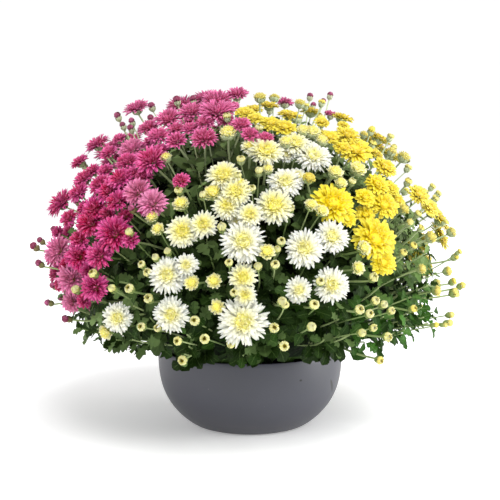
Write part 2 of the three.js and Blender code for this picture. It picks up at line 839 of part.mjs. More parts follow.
// A round solid from [radius, height] points that start and end on the axis
function turned(profile) {
  const frame = frameAt(new THREE.Vector3(), up, new THREE.Vector3(1, 0, 0));
  return loft(profile.map(([radius, height]) => (radius === 0
    ? [new THREE.Vector3(0, 0, height)]
    : ringAt(frame, roundSegments, () => radius, () => height, 0))));
}

const outerWall = outerHeights.map((height) => [bowlRadius(height), height]);
const innerWall = innerHeights.map((height) => [bowlRadius(height) - wallThickness, height]);
const bowlBody = turned(outerWall);
const hollow = turned([...innerWall.slice(0, -1), [innerWall.at(-1)[0], bowlHeight + 1]]);
const bowl = bowlBody.subtract(hollow);
addMesh("bowl", tidied(bowl), materials.bowl);

const soilWall = innerWall.filter(([, height]) => height < soilHeight)
  .map(([radius, height]) => [radius - soilSideGap, height]);
soilWall[0][1] += seatGap;
const soilRim = bowlRadius(soilHeight) - wallThickness - 1;
const soilTop = [[soilRim, soilHeight], [0, soilHeight + soilCrown]];
let soil = turned([[0, soilWall[0][1]], ...soilWall, ...soilTop]);
for (const plant of plants) {
  const azimuth = (plant.from + plant.to) / 2;
  const { foot: footRadius, joint } = plant.tier;
  const foot = placeAt(footRadius, azimuth, soilHeight + soilCrown / 2 - stemDepth);
  const collar = foot.clone().addScaledVector(up, stemDepth + 9);
  const path = [foot, collar, placeAt(joint[0], azimuth, joint[1])];
  const radii = path.map(() => stemRadius);
  plant.solids.push(loft(stalkRings(path, radii, stemSides, 0).rings));
  const bottom = foot.clone().addScaledVector(up, -seatGap);
  const hole = loft(stalkRings([bottom, collar], [stemRadius, stemRadius], stemSides, seatGap).rings);
  soil = soil.subtract(hole);
}
addMesh("soil", tidied(soil), materials.soil);

// Blooms: cut clear of other flowers' stalks, and of other colours' blooms
const limbs = plants.flatMap((plant) => plant.limbs);
for (const limb of limbs) {
  limb.room = limbSolid(limb, seatGap);
}
for (const bloom of blooms) {
  bloom.room = loft(bloomRings(bloom, seatGap, anySide(bloom.axis), bloom.turn));
}
function cutClear(solid, bloom) {
  let clear = solid;
  for (const limb of limbs) {
    const room = limb.flower === bloom ? stalkSolid(limb, seatGap) : limb.room;
    if ((limb.flower !== bloom || !bloom.alone) && meets(clear, room)) {
      clear = clear.subtract(room);
    }
  }
  for (const other of blooms.slice(0, blooms.indexOf(bloom))) {
    if (other.colour !== bloom.colour && meets(clear, other.room)) {
      clear = clear.subtract(other.room);
    }
  }
  return largest(clear);
}
for (const bloom of blooms) {
  bloom.solid = cutClear(loft(bloomRings(bloom, 0, anySide(bloom.axis), bloom.turn)), bloom);
}

// Bunches of blooms of one colour that touch
let bunches = [];
for (const bloom of blooms) {
  const touched = bunches.filter((bunch) => bunch[0].colour === bloom.colour
    && bunch.some((other) => meets(other.solid, bloom.solid)));
  bunches = bunches.filter((bunch) => !touched.includes(bunch));
  bunches.push([...touched.flat(), bloom]);
}

// A bloom in one with its stalk, cut clear of what isn't on its own plant
function cutAlone(solid, own) {
  let clear = solid;
  for (const limb of limbs) {
    if (limb.plant !== own.plant && meets(clear, limb.room)) {
      clear = clear.subtract(limb.room);
    }
  }
  for (const other of blooms) {
    if (other !== own.flower && meets(clear, other.room)) {
      clear = clear.subtract(other.room);
    }
  }
  return largest(clear);
}

// The largest bunches get meshes of their own; the blooms left over grow on their plant's
const bunchSize = (bunch) => bunch.reduce((sum, bloom) => sum + bloom.radius, 0);
bunches.sort((one, two) => bunchSize(two) - bunchSize(one));
const bunchMeshes = bunches.splice(0, meshLimit - plants.length - 2);
for (const bloom of bunches.flat()) {
  bloom.alone = true;
}
for (const limb of limbs) {
  if (limb.flower?.alone) {
    const { solids } = limb.plant;
    solids[solids.indexOf(limb.solid)] = cutAlone(limbSolid(limb, 0), limb);
  }
}

// Leaves, each in its first direction that clears everything but the piece it grows from
const ownBlooms = bunchMeshes.flat().map((bloom) => bloom.solid);
for (const { plant, root, choices, length, base } of leafPlan) {
  const others = plants.flatMap((other) => other.solids).filter((solid) => solid !== base);
  const obstacles = [bowl, soil, ...ownBlooms, ...others];
  const along = choices.find((choice) => {
    const room = leafSolid({ root, along: choice, length }, 2 * seatGap);
    return !obstacles.some((solid) => meets(solid, room));
  });
  if (along) {
    plant.solids.push(leafSolid({ root, along, length }, 0));
  }
}

for (const plant of plants) {
  addMesh(plant.name, tidied(wasm.Manifold.union(plant.solids)), materials.leaf);
}
const bunchCount = {};
for (const bunch of bunchMeshes) {
  const { colour } = bunch[0];
  bunchCount[colour] = (bunchCount[colour] ?? 0) + 1;
  const solid = tidied(wasm.Manifold.union(bunch.map((bloom) => bloom.solid)));
  addMesh(`${colour}_blooms_${bunchCount[colour]}`, solid, materials[colour]);
}

export default model;
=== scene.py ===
# Pot chrysanthemum: magenta, cream and yellow garden mums grown together in one bowl.
# Metres, +Z up, the front faces -Y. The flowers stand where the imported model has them.
import bpy
import numpy as np
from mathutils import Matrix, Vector


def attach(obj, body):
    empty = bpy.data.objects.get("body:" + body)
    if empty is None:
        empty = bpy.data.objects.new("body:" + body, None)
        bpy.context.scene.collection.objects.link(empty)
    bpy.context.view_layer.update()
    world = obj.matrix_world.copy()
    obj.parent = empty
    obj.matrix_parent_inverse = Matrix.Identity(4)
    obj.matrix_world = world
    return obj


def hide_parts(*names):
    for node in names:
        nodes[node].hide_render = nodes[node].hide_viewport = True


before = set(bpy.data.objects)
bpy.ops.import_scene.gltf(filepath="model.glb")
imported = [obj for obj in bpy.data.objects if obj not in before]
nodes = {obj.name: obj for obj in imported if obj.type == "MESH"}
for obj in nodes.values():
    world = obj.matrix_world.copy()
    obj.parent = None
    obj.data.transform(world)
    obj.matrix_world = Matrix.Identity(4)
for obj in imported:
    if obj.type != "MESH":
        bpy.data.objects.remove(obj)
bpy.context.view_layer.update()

mm = 0.001
degree = np.pi / 180
up = np.array([0.0, 0.0, 1.0])
right = np.array([1.0, 0.0, 0.0])

# ---- camera: seen from the front, a little from above ----

view = {
    "eye": (0.0, -1.3, 0.35),
    "target": (0.0, 0.0, 0.216),
    "cells": 500,
    "focal": 1050,
    "sensor": 36.0,
}


# Puts an object in the scene; one with a place, such as a camera or a lamp, faces the target
def addObject(name, data, place=None):
    made = bpy.data.objects.new(name, data)
    bpy.context.scene.collection.objects.link(made)
    if place:
        made.location = place
        aim = Vector(view["target"]) - made.location
        made.rotation_euler = aim.to_track_quat("-Z", "Y").to_euler()
    return made


def makeCamera():
    camera = addObject("camera", bpy.data.cameras.new("camera"), view["eye"])
    camera.data.sensor_width = view["sensor"]
    camera.data.lens = view["sensor"] * view["focal"] / view["cells"]
    bpy.context.scene.camera = camera


makeCamera()
print("camera placed")

# ---- where the flowers are: the lists and rules of the part's own layout ----

# The dome that the flowers lie on, flattened below its widest level, and the leafy hearts in it
crown = {"centre": 0.185, "radius": 0.252, "above": 0.232, "below": 0.15}
heart = {"share": 0.7, "below": 0.118, "low": 0.1, "high": 0.346}
head = {"rise": 0.3, "calyxHeight": 0.005}
facing = {
    "budLift": 0.6, "lift": 0.15, "topLift": 0.45,
    "seen": 0.5, "front": 0.35, "lowFront": 0.6, "top": 0.31, "fade": 0.08,
}
magentaSector = (62, 241)
growthOrigin = np.array([0.0, 0.0, 0.085])
spotJitter = 7 * mm

# Open blooms: column and row in the view's grid, diameter in mm, and mm behind the near side
openSpots = {
    "cream": [
        (243, 322, 52), (171, 315, 38), (117, 318, 34), (167, 275, 40), (182, 231, 36),
        (203, 224, 30), (243, 241, 46), (275, 205, 42), (305, 248, 42), (333, 236, 36),
        (332, 285, 38), (243, 277, 30), (227, 205, 32), (250, 214, 28), (223, 174, 38),
        (236, 191, 34), (285, 181, 38), (266, 150, 40), (295, 142, 36), (314, 155, 42),
        (186, 265, 26), (299, 290, 28), (245, 295, 24), (250, 146, 22),
    ],
    "magenta": [
        (136, 107, 34), (192, 111, 36), (217, 110, 44), (217, 99, 40), (237, 93, 28),
        (168, 118, 36), (97, 143, 34), (79, 161, 26), (108, 152, 24), (147, 127, 26),
        (158, 135, 28), (204, 137, 32), (176, 140, 26), (131, 148, 34), (151, 159, 40),
        (127, 161, 28), (181, 180, 20), (120, 178, 30), (83, 178, 28), (100, 184, 30),
        (60, 202, 42), (78, 192, 28), (109, 190, 34), (117, 200, 28), (137, 191, 34),
        (94, 208, 32), (90, 222, 36), (154, 204, 34), (113, 233, 42), (134, 241, 20),
        (57, 250, 38), (78, 256, 34), (99, 255, 32), (69, 282, 38), (94, 287, 34),
        (70, 305, 26), (79, 240, 26), (241, 124, 24), (250, 134, 22), (269, 139, 20),
        (285, 102, 26, 190), (331, 114, 20, 155),
    ],
    "yellow": [
        (244, 111, 24), (255, 117, 20), (271, 122, 26), (285, 126, 28), (330, 136, 24),
        (348, 134, 32), (355, 148, 46), (343, 147, 22), (386, 166, 30), (378, 183, 30),
        (394, 188, 20), (364, 196, 24), (385, 204, 36), (334, 202, 48), (349, 219, 18),
        (420, 194, 30), (431, 207, 26), (376, 238, 50), (384, 262, 30), (322, 121, 20),
        (343, 123, 16),
    ],
}
halfSpots = {
    "cream": [
        (213, 193, 20), (181, 204, 18), (192, 283, 16), (214, 281, 16), (217, 307, 16),
        (267, 252, 17), (228, 133, 20), (286, 142, 16), (335, 172, 18), (358, 268, 15),
        (364, 248, 16), (106, 332, 17), (312, 132, 20), (358, 169, 20),
    ],
    "yellow": [(260, 97, 15), (404, 157, 17), (431, 237, 15), (309, 178, 14), (452, 232, 14)],
}
budSpots = {
    "magenta": [
        (118, 117, 9), (177, 101, 9), (310, 97, 9, 190), (330, 96, 9, 190), (35, 247, 10),
        (40, 264, 9), (67, 319, 9), (132, 209, 8),
    ],
    "cream": [
        (94, 274, 10), (77, 290, 10), (130, 289, 10), (149, 299, 10), (183, 360, 10),
        (222, 228, 10), (281, 242, 9), (282, 302, 10), (314, 305, 10), (284, 346, 10),
        (373, 278, 10), (359, 310, 10), (387, 337, 10),
    ],
    "yellow": [
        (371, 131, 9), (408, 182, 9), (435, 199, 9), (403, 253, 8), (413, 309, 8),
        (448, 323, 9), (461, 286, 9), (455, 257, 9), (379, 360, 9), (454, 293, 12),
    ],
}

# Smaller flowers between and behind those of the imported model
moreOpenSpots = {
    "magenta": [
        (160, 150, 22, 12), (190, 128, 22, 12), (176, 128, 22, 10), (150, 141, 20, 10),
        (205, 122, 24, 10), (225, 120, 22, 12), (143, 176, 24, 12), (131, 175, 24, 10),
        (107, 214, 22, 10), (68, 218, 24, 8), (105, 170, 22, 12), (92, 170, 22, 10),
        (84, 207, 20, 10), (125, 216, 20, 12), (122, 190, 20, 14), (66, 266, 22, 8),
        (88, 270, 22, 8), (108, 246, 20, 10), (60, 284, 18, 8), (84, 300, 20, 8),
        (57, 232, 18, 8), (145, 206, 20, 14), (119, 138, 20, 10), (232, 106, 20, 8),
    ],
    "cream": [(222, 185, 24, 8), (297, 176, 26, 10), (238, 220, 22, 8), (286, 154, 22, 10)],
    "yellow": [(366, 214, 24, 8), (398, 200, 20, 10), (340, 210, 24, 10)],
}
moreHalfSpots = {
    "cream": [
        (311, 205, 14), (322, 211, 14), (341, 183, 14), (268, 169, 12), (240, 184, 15),
        (166, 157, 13), (152, 217, 14), (158, 229, 14), (303, 130, 15), (322, 140, 15),
    ],
    "yellow": [
        (300, 103, 13), (404, 209, 13), (422, 269, 11), (448, 271, 12), (437, 291, 12),
        (392, 151, 12), (364, 134, 10),
    ],
}
moreBudSpots = {
    "magenta": [
        (152, 107, 9), (132, 122, 8), (123, 126, 8), (131, 129, 8), (151, 119, 8),
        (193, 100, 8), (313, 106, 8, 190), (323, 102, 8, 190), (41, 241, 8), (54, 286, 8),
        (55, 230, 8),
    ],
    "cream": [
        (113, 289, 9), (142, 265, 8), (148, 273, 9), (130, 233, 9), (142, 327, 9),
        (158, 328, 8), (178, 341, 9), (195, 321, 10), (168, 252, 8), (156, 258, 8),
        (179, 191, 9), (203, 196, 8), (229, 263, 8), (258, 267, 9), (275, 265, 9),
        (277, 250, 8), (290, 209, 9), (234, 293, 8), (285, 305, 8), (274, 328, 10),
        (311, 327, 10), (205, 339, 10), (231, 344, 9), (241, 160, 9), (259, 172, 9),
        (238, 176, 8), (252, 189, 8), (227, 117, 9), (259, 129, 9), (320, 282, 9),
        (375, 301, 9), (383, 305, 9), (369, 314, 9), (391, 311, 8), (361, 333, 9),
        (373, 328, 8), (352, 182, 8),
    ],
    "yellow": [
        (373, 144, 8), (432, 187, 8), (438, 194, 8), (418, 214, 8), (409, 223, 8),
        (421, 228, 7), (413, 246, 8), (450, 315, 8), (444, 325, 7), (435, 325, 7),
        (459, 252, 7), (445, 222, 7),
    ],
}

fillRule = {
    "seed": 71, "points": 230, "top": 4, "low": 106, "hidden": -0.1, "clear": 0.012,
    "level": 0.99, "uneven": 0.05, "brow": 0.16, "browLow": 0.34, "sunk": 0.075, "thin": 0.68,
    "kinds": ["open", "bud", "open", "half", "bud", "open", "bud"],
    "diameters": {"open": (24, 36), "half": (13, 17), "bud": (8, 10)},
}
budSwell = 1.06
bunchRule = {"reach": 0.005, "touch": 0.84, "limit": 6}
goldenTurn = 137.508
sprayRule = {
    "seed": 23, "points": 34, "top": 12, "low": 98, "hidden": -0.08, "clear": 0.042,
    "blooms": 3, "reach": 0.0195, "rise": 3 * mm, "diameter": 40,
}
backBudRule = {
    "points": 36, "top": 20, "low": 114, "turn": 0.4, "hidden": 0.03, "clear": 8 * mm,
    "diameter": 9,
}


# Even random numbers from 0 to 1, the same every time for one seed
def dice(seed):
    state = seed
    while True:
        state = state * 16807 % 2147483647
        yield state / 2147483647


def between(pair, share):
    return pair[0] + (pair[1] - pair[0]) * share


def unit(vectors):
    return vectors / np.linalg.norm(vectors, axis=-1, keepdims=True)


# A point of the crown in a direction, at a share of its full size:
# (share R sin a cos b, share R sin a sin b, centre + share H cos a)
def crownPoint(azimuth, fromUpright, share):
    height = np.where(np.cos(fromUpright) > 0, crown["above"], crown["below"])
    return np.stack([
        share * crown["radius"] * np.sin(fromUpright) * np.cos(azimuth),
        share * crown["radius"] * np.sin(fromUpright) * np.sin(azimuth),
        crown["centre"] + share * height * np.cos(fromUpright),
    ], -1)


# The crown's outward direction at points
def crownNormal(points):
    level = points[..., 2] - crown["centre"]
    height = np.where(level > 0, crown["above"], crown["below"])
    flat = points[..., :2] / crown["radius"] ** 2
    return unit(np.concatenate([flat, (level / height ** 2)[..., None]], -1))


# Where the line of sight through a grid cell first meets the crown, or passes nearest to it
def crownSpot(column, row):
    eye = np.array(view["eye"])
    forward = unit(np.array(view["target"]) - eye)
    above = np.cross(right, forward)
    across = (column - view["cells"] / 2) / view["focal"]
    rise = (view["cells"] / 2 - row) / view["focal"]
    sight = unit(forward + across * right + rise * above)

    def meet(height):
        squash = np.array([1 / crown["radius"], 1 / crown["radius"], 1 / height])
        start = (eye - crown["centre"] * up) * squash
        step = sight * squash
        nearest = -start @ step / (step @ step)
        miss = start @ start - step @ step * nearest ** 2
        return eye + sight * (nearest - np.sqrt(max(0, 1 - miss) / (step @ step)))

    high = meet(crown["above"])
    return (high if high[2] > crown["centre"] else meet(crown["below"])), sight


# A flower centred at a place; it faces outwards and a little up, and a bloom also to the front
def flowerAt(colour, kind, centre, diameter, turn):
    outward = crownNormal(centre)
    toEye = unit(np.array(view["eye"]) - centre)
    lift = facing["lift"] + facing["topLift"] * max(0, outward[2])
    if kind == "bud":
        lift = facing["budLift"]
    seen = np.clip(facing["seen"] + outward @ toEye, 0, 1) if kind == "open" else 0
    low = np.clip((facing["top"] - centre[2]) / facing["fade"], 0, 1)
    front = seen * (facing["front"] + facing["lowFront"] * low)
    return {
        "colour": colour, "kind": kind, "centre": centre, "radius": diameter * mm / 2,
        "axis": unit(outward + lift * up + front * toEye), "turn": turn,
    }


def listed(kind, lists, roll):
    made = []
    for colour, rows in lists.items():
        for column, row, diameter, *behind in rows:
            point, sight = crownSpot(column, row)
            place = point + (sum(behind) * mm + spotJitter * (next(roll) - 0.5)) * sight
            made.append(flowerAt(colour, kind, place, diameter, 2 * np.pi * next(roll)))
    return made


# Directions on a rule's even spiral between two angles from upright
def spiral(rule):
    steps = np.arange(rule["points"])
    high, deep = np.cos(rule["top"] * degree), np.cos(rule["low"] * degree)
    level = high + (deep - high) * (steps + 0.5) / rule["points"]
    return steps * goldenTurn * degree, np.arccos(level)


def backColour(azimuth):
    degrees = (azimuth / degree) % 360
    return "magenta" if magentaSector[0] < degrees < magentaSector[1] else "yellow"


def isHidden(point, limit):
    return crownNormal(point) @ unit(np.array(view["eye"]) - point) < limit


def anySide(axis):
    side = up if abs(axis[2]) < 0.9 else right
    return unit(np.cross(side, axis))


# Three square axes with z along the axis and x as near the side as it can be
def squareAxes(axis, side):
    z = unit(axis)
    x = unit(side - (side @ z) * z)
    return x, np.cross(z, x), z


def isCrowded(place, flowers, room):
    return any(np.linalg.norm(f["centre"] - place) < f["radius"] + room for f in flowers)


# Blooms round the back in sprays of three, and buds where they leave room
def backFlowers(flowers):
    rule = sprayRule
    roll = dice(rule["seed"])
    for azimuth, fromUpright in zip(*spiral(rule)):
        middle = crownPoint(azimuth, fromUpright, 1)
        crowded = any(f["kind"] == "open" and np.linalg.norm(f["centre"] - middle) < rule["clear"]
                      for f in flowers)
        if crowded or not isHidden(middle, rule["hidden"]):
            continue
        x, y, z = squareAxes(crownNormal(middle), up)
        start = 2 * np.pi * next(roll)
        for k in range(rule["blooms"]):
            angle = start + 2 * np.pi * k / rule["blooms"]
            reach = rule["reach"] * (0.9 + 0.25 * next(roll))
            rise = rule["rise"] * (next(roll) - 0.5)
            centre = middle + reach * (np.cos(angle) * x + np.sin(angle) * y) + rise * z
            diameter = rule["diameter"] * (0.85 + 0.3 * next(roll))
            turn = 2 * np.pi * next(roll)
            flowers.append(flowerAt(backColour(azimuth), "open", centre, diameter, turn))
    rule = backBudRule
    for azimuth, fromUpright in zip(*spiral(rule)):
        azimuth = azimuth + rule["turn"]
        middle = crownPoint(azimuth, fromUpright, 1)
        if isHidden(middle, rule["hidden"]) and not isCrowded(middle, flowers, rule["clear"]):
            flowers.append(flowerAt(backColour(azimuth), "bud", middle, rule["diameter"], 0))


# Small blooms, half-open flowers and buds that fill the back and the top between the sprays, and
# some sunk below the others at the top's edge
def fillFlowers(flowers):
    rule = fillRule
    roll = dice(rule["seed"])
    made = []
    for number, (azimuth, fromUpright) in enumerate(zip(*spiral(rule))):
        outer, sunk = crownPoint(azimuth, fromUpright, 1), rule["uneven"] * next(roll)
        if not isHidden(outer, rule["hidden"]):
            if not isHidden(outer, rule["brow"]) or outer[2] < rule["browLow"]:
                continue
            sunk += rule["sunk"]
        middle = crownPoint(azimuth, fromUpright, rule["level"] - sunk)
        kind = rule["kinds"][number % len(rule["kinds"])]
        size, turn = next(roll), 2 * np.pi * next(roll)
        if not isCrowded(middle, flowers, rule["clear"]):
            colour = backColour(azimuth)
            if kind == "half" and colour == "magenta":
                kind = "bud"
            diameter = between(rule["diameters"][kind], size)
            made.append(flowerAt(colour, kind, middle, diameter, turn))
    return made


# Draws neighbours of one colour together until their petals touch, each bunch as one
def drawTogether(blooms):
    def apart(one, two):
        reach = bunchRule["touch"] * (one["radius"] + two["radius"])
        return np.linalg.norm(one["centre"] - two["centre"]) - reach

    for bloom in blooms:
        bloom["bunch"] = [bloom]
    pairs = [(apart(one, two), one, two) for k, one in enumerate(blooms)
             for two in blooms[k + 1:] if one["colour"] == two["colour"]]
    near = [pair for pair in pairs if pair[0] < bunchRule["reach"]]
    for _, one, two in sorted(near, key=lambda pair: pair[0]):
        still, moved = (two, one) if len(one["bunch"]) < len(two["bunch"]) else (one, two)
        joined = still["bunch"] + moved["bunch"]
        if still["bunch"] is moved["bunch"] or len(joined) > bunchRule["limit"]:
            continue
        step = unit(still["centre"] - moved["centre"]) * max(0, apart(one, two))
        for bloom in moved["bunch"]:
            bloom["centre"] = bloom["centre"] + step
        for bloom in joined:
            bloom["bunch"] = joined


def layOut():
    roll = dice(11)
    flowers = []
    for kind, spots in (("open", openSpots), ("half", halfSpots), ("bud", budSpots)):
        flowers += listed(kind, spots, roll)
    backFlowers(flowers)
    drawTogether([flower for flower in flowers if flower["kind"] == "open"])
    roll = dice(57)
    more = []
    for kind, spots in (("half", moreHalfSpots), ("bud", moreBudSpots), ("open", moreOpenSpots)):
        more += listed(kind, spots, roll)
    more += fillFlowers(flowers + more)
    for flower in more:
        flower["thin"] = fillRule["thin"]
    for flower in flowers + more:
        flower["radius"] *= budSwell if flower["kind"] == "bud" else 1
        flower["foot"] = flower["centre"] - head["rise"] * flower["radius"] * flower["axis"]
        flower["neck"] = flower["foot"] - head["calyxHeight"] * flower["axis"]
    return flowers, more


flowers, moreFlowers = layOut()
print("flowers laid out:", len(flowers), "and", len(moreFlowers), "more")

# ---- which node each flower belongs to, and where its stalk is rooted ----


# The corners of a node's triangles, as an array of triangle, corner, coordinate
def cornersOf(name):
    mesh = nodes[name].data
    points = np.empty(3 * len(mesh.vertices), np.float32)
    mesh.vertices.foreach_get("co", points)
    mesh.calc_loop_triangles()
    picks = np.empty(3 * len(mesh.loop_triangles), np.int32)
    mesh.loop_triangles.foreach_get("vertices", picks)
    return points.reshape(-1, 3)[picks].reshape(-1, 3, 3).astype(float)


stemNames = sorted(name for name in nodes if "leafy_stem" in name)
bloomNames = sorted(name for name in nodes if "blooms" in name)
stemCorners = {name: cornersOf(name) for name in stemNames}
bloomCorners = {name: cornersOf(name).reshape(-1, 3) for name in bloomNames}
stemPoints = np.concatenate([stemCorners[name].reshape(-1, 3) for name in stemNames])
stemOwners = np.repeat(np.arange(len(stemNames)), [3 * len(stemCorners[n]) for n in stemNames])


# The outer radius of the leafy hearts at heights: S R sqrt(1 - ((z - centre) / reach)^2)
def heartRadius(height):
    reach = np.where(height > crown["centre"], heart["share"] * crown["above"], heart["below"])
    inside = 1 - ((height - crown["centre"]) / reach) ** 2
    return heart["share"] * crown["radius"] * np.sqrt(np.clip(inside, 0, 1))


# Where the way out from the middle of the plant to a place leaves the hearts
def wayOut(target):
    shares = np.linspace(0.3, 1, 300)[:, None]
    points = growthOrigin + (target - growthOrigin) * shares
    inside = np.hypot(points[:, 0], points[:, 1]) < heartRadius(points[:, 2])
    return points[np.nonzero(inside)[0][-1]] if inside.any() else points[0]


def nearestStem(point):
    gaps = np.linalg.norm(stemPoints - point, axis=1)
    return stemNames[stemOwners[np.argmin(gaps)]]


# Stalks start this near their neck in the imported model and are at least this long; a bloom's own
# node comes this near a point in its petals, in shares of its radius
homeRule = {"neckGap": 2.8 * mm, "shortest": 15 * mm, "far": 0.6, "petals": 0.44, "gap": 0.2}


# Reads a flower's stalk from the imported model: the triangles that meet its neck run to its root
def findStalk(flower):
    best = (np.inf, None, None)
    for name in stemNames:
        gaps = np.linalg.norm(stemCorners[name] - flower["neck"], axis=2)
        touching = gaps.min(1) < homeRule["neckGap"]
        if not touching.any():
            continue
        ends = stemCorners[name][touching][np.arange(touching.sum()), gaps[touching].argmax(1)]
        spans = gaps[touching].max(1)
        if spans.max() > homeRule["shortest"] and gaps.min() < best[0]:
            best = (gaps.min(), ends[spans > homeRule["far"] * spans.max()].mean(0), name)
    return best[1:]


# The bloom node that holds a bloom, or its stem's node where it is one with that
def findNode(flower):
    top = flower["foot"] + homeRule["petals"] * flower["radius"] * flower["axis"]
    gaps = {name: np.linalg.norm(bloomCorners[name] - top, axis=1).min() for name in bloomNames
            if name.startswith(flower["colour"])}
    nearest = min(gaps, key=gaps.get)
    return nearest if gaps[nearest] < homeRule["gap"] * flower["radius"] else flower["stem"]


def homes():
    missing = 0
    for flower in flowers:
        flower["root"], flower["stem"] = findStalk(flower)
        missing += flower["root"] is None
    for flower in flowers + moreFlowers:
        if flower.get("root") is None:
            flower["root"] = wayOut(flower["foot"])
            flower["stem"] = nearestStem(flower["root"])
        isOwn = flower["kind"] == "open" and "thin" not in flower
        flower["node"] = findNode(flower) if isOwn else flower["stem"]
    return missing


print("stalks not found in the model:", homes())
alone = sum(f["kind"] == "open" and f["node"] == f["stem"] for f in flowers)
print("blooms that are one with their stem:", alone)

# ---- shapes ----


def joinSettings(parts):
    return {name: np.concatenate([part[name] for part in parts]) for name in parts[0]}


# Meshes are put together from batches: points, quads, triangles, the place along and across
# the shape, and the tints tone, layer, age and underside
def joinBatches(batches):
    starts = np.cumsum([0] + [len(batch["points"]) for batch in batches])
    return joinSettings([
        {**batch, "quads": batch["quads"] + start, "triangles": batch["triangles"] + start}
        for batch, start in zip(batches, starts)
    ])


# A batch of copies of one shape: points of each copy, and the faces and places that they share
def copies(points, quads, triangles, along, across, under, tint):
    count, size = points.shape[:2]
    offsets = np.arange(count)[:, None, None] * size
    along, across, under = (np.broadcast_to(row, (count, size)) for row in (along, across, under))
    tints = np.broadcast_to(tint[:, None, :], (count, size, 3))
    return {
        "points": points.reshape(-1, 3),
        "quads": (quads[None] + offsets).reshape(-1, 4),
        "triangles": (triangles[None] + offsets).reshape(-1, 3),
        "shape": np.stack([along, across], -1).reshape(-1, 2),
        "tint": np.concatenate([tints, under[..., None]], -1).reshape(-1, 4),
    }


# The pattern of a blade with its rows: a point at the base, then right edge, top, left edge and
# bottom in each row, and at the tip right edge, middle and left edge
def bladePattern(rows):
    inner = len(rows) - 2
    row = np.concatenate([[0], np.repeat(np.arange(1, inner + 1), 4), [inner + 1] * 3])
    side = np.concatenate([[0], np.tile([-1, 0, 1, 0], inner), [-1, 0, 1]])
    face = np.concatenate([[0], np.tile([0, 1, 0, -1], inner), [0, 0, 0]])
    first = 1 + 4 * np.arange(inner - 1)[:, None]
    strips = [[0, 4, 5, 1], [1, 5, 6, 2], [0, 3, 7, 4], [3, 2, 6, 7]]
    quads = np.concatenate([first + np.array([strip]) for strip in strips])
    last = 4 * inner - 3
    tip = last + 4
    ends = [[last, tip, tip + 1, last + 1], [last + 1, tip + 1, tip + 2, last + 2],
            [last, last + 3, tip + 1, tip], [last + 3, last + 2, tip + 2, tip + 1]]
    triangles = np.array([[0, 1, 2], [0, 2, 3], [0, 4, 1], [0, 3, 4]])
    return {
        "u": np.asarray(rows, float)[row], "side": side, "face": face,
        "quads": np.concatenate([quads, ends]), "triangles": triangles,
        "isTip": np.concatenate([np.zeros(1 + 4 * inner), [0, 1, 0]]),
    }


# Blades: P = line + side * width * across + (lift * side^2 + face * thickness) * normal
def blades(pattern, line, across, normal, width, lift, thickness, tint):
    side, face = pattern["side"], pattern["face"]
    rise = lift * side ** 2 + face * thickness
    points = line + (side * width)[..., None] * across + rise[..., None] * normal
    return copies(points, pattern["quads"], pattern["triangles"], pattern["u"], np.abs(side),
                  (1 - face) / 2, tint)


petalPlaces = (0, 0.3, 0.6, 0.8, 0.92, 1)
petalPattern = bladePattern([0, 0.28, 0.55, 0.78, 0.94, 1])
plainPetalPattern = bladePattern([0, 0.4, 0.75, 0.94, 1])
smallPetalPattern = bladePattern([0, 0.4, 0.78, 1])


# Petals: in the plane of its azimuth each follows (1-u)^2 P0 + 2u(1-u) P1 + u^2 P2, from its base
# over a control point to its tip; its width comes from an outline, and it twists by T u
def petals(pattern, widths, settings):
    c = {name: values[:, None] for name, values in settings.items()}
    foot, x, y, axis = (c[name] for name in ("foot", "x", "y", "z"))
    u = pattern["u"] + pattern["isTip"] * c["point"]
    out = (1 - u) ** 2 * c["r0"] + 2 * u * (1 - u) * c["r1"] + u ** 2 * c["r2"]
    rise = (1 - u) ** 2 * c["h0"] + 2 * u * (1 - u) * c["h1"] + u ** 2 * c["h2"]
    outStep = (1 - u) * (c["r1"] - c["r0"]) + u * (c["r2"] - c["r1"])
    riseStep = (1 - u) * (c["h1"] - c["h0"]) + u * (c["h2"] - c["h1"])
    length = np.hypot(outStep, riseStep) + 1e-9
    cos, sin = np.cos(c["turn"]), np.sin(c["turn"])
    cos, sin = cos[..., None], sin[..., None]
    radial, across = cos * x + sin * y, cos * y - sin * x
    line = foot + out[..., None] * radial + rise[..., None] * axis
    line = line + (c["sway"] * u ** 2)[..., None] * across
    normal = (outStep / length)[..., None] * axis - (riseStep / length)[..., None] * radial
    twist = (c["twist"] * u)[..., None]
    tilted = np.cos(twist) * across + np.sin(twist) * normal
    front = np.cos(twist) * normal - np.sin(twist) * across
    width = c["width"] * np.interp(pattern["u"], petalPlaces, widths)
    lift = c["cup"] * width * (0.4 + 0.6 * pattern["u"])
    return blades(pattern, line, tilted, front, width, lift, petalThickness, settings["tint"])


def ringAngles(sides):
    return 2 * np.pi * np.arange(sides) / sides


# The faces of rings of points, closed at both ends by the two points that follow them
def ringFaces(rings, sides):
    this, following = np.arange(sides), np.roll(np.arange(sides), -1)
    ring = np.stack([this, following, following + sides, this + sides], 1)
    quads = np.concatenate([ring + sides * step for step in range(rings - 1)])
    end, high = rings * sides, (rings - 1) * sides
    caps = [[0 * this + end, following, this], [0 * this + end + 1, high + this, high + following]]
    return quads, np.concatenate([np.stack(cap, 1) for cap in caps])


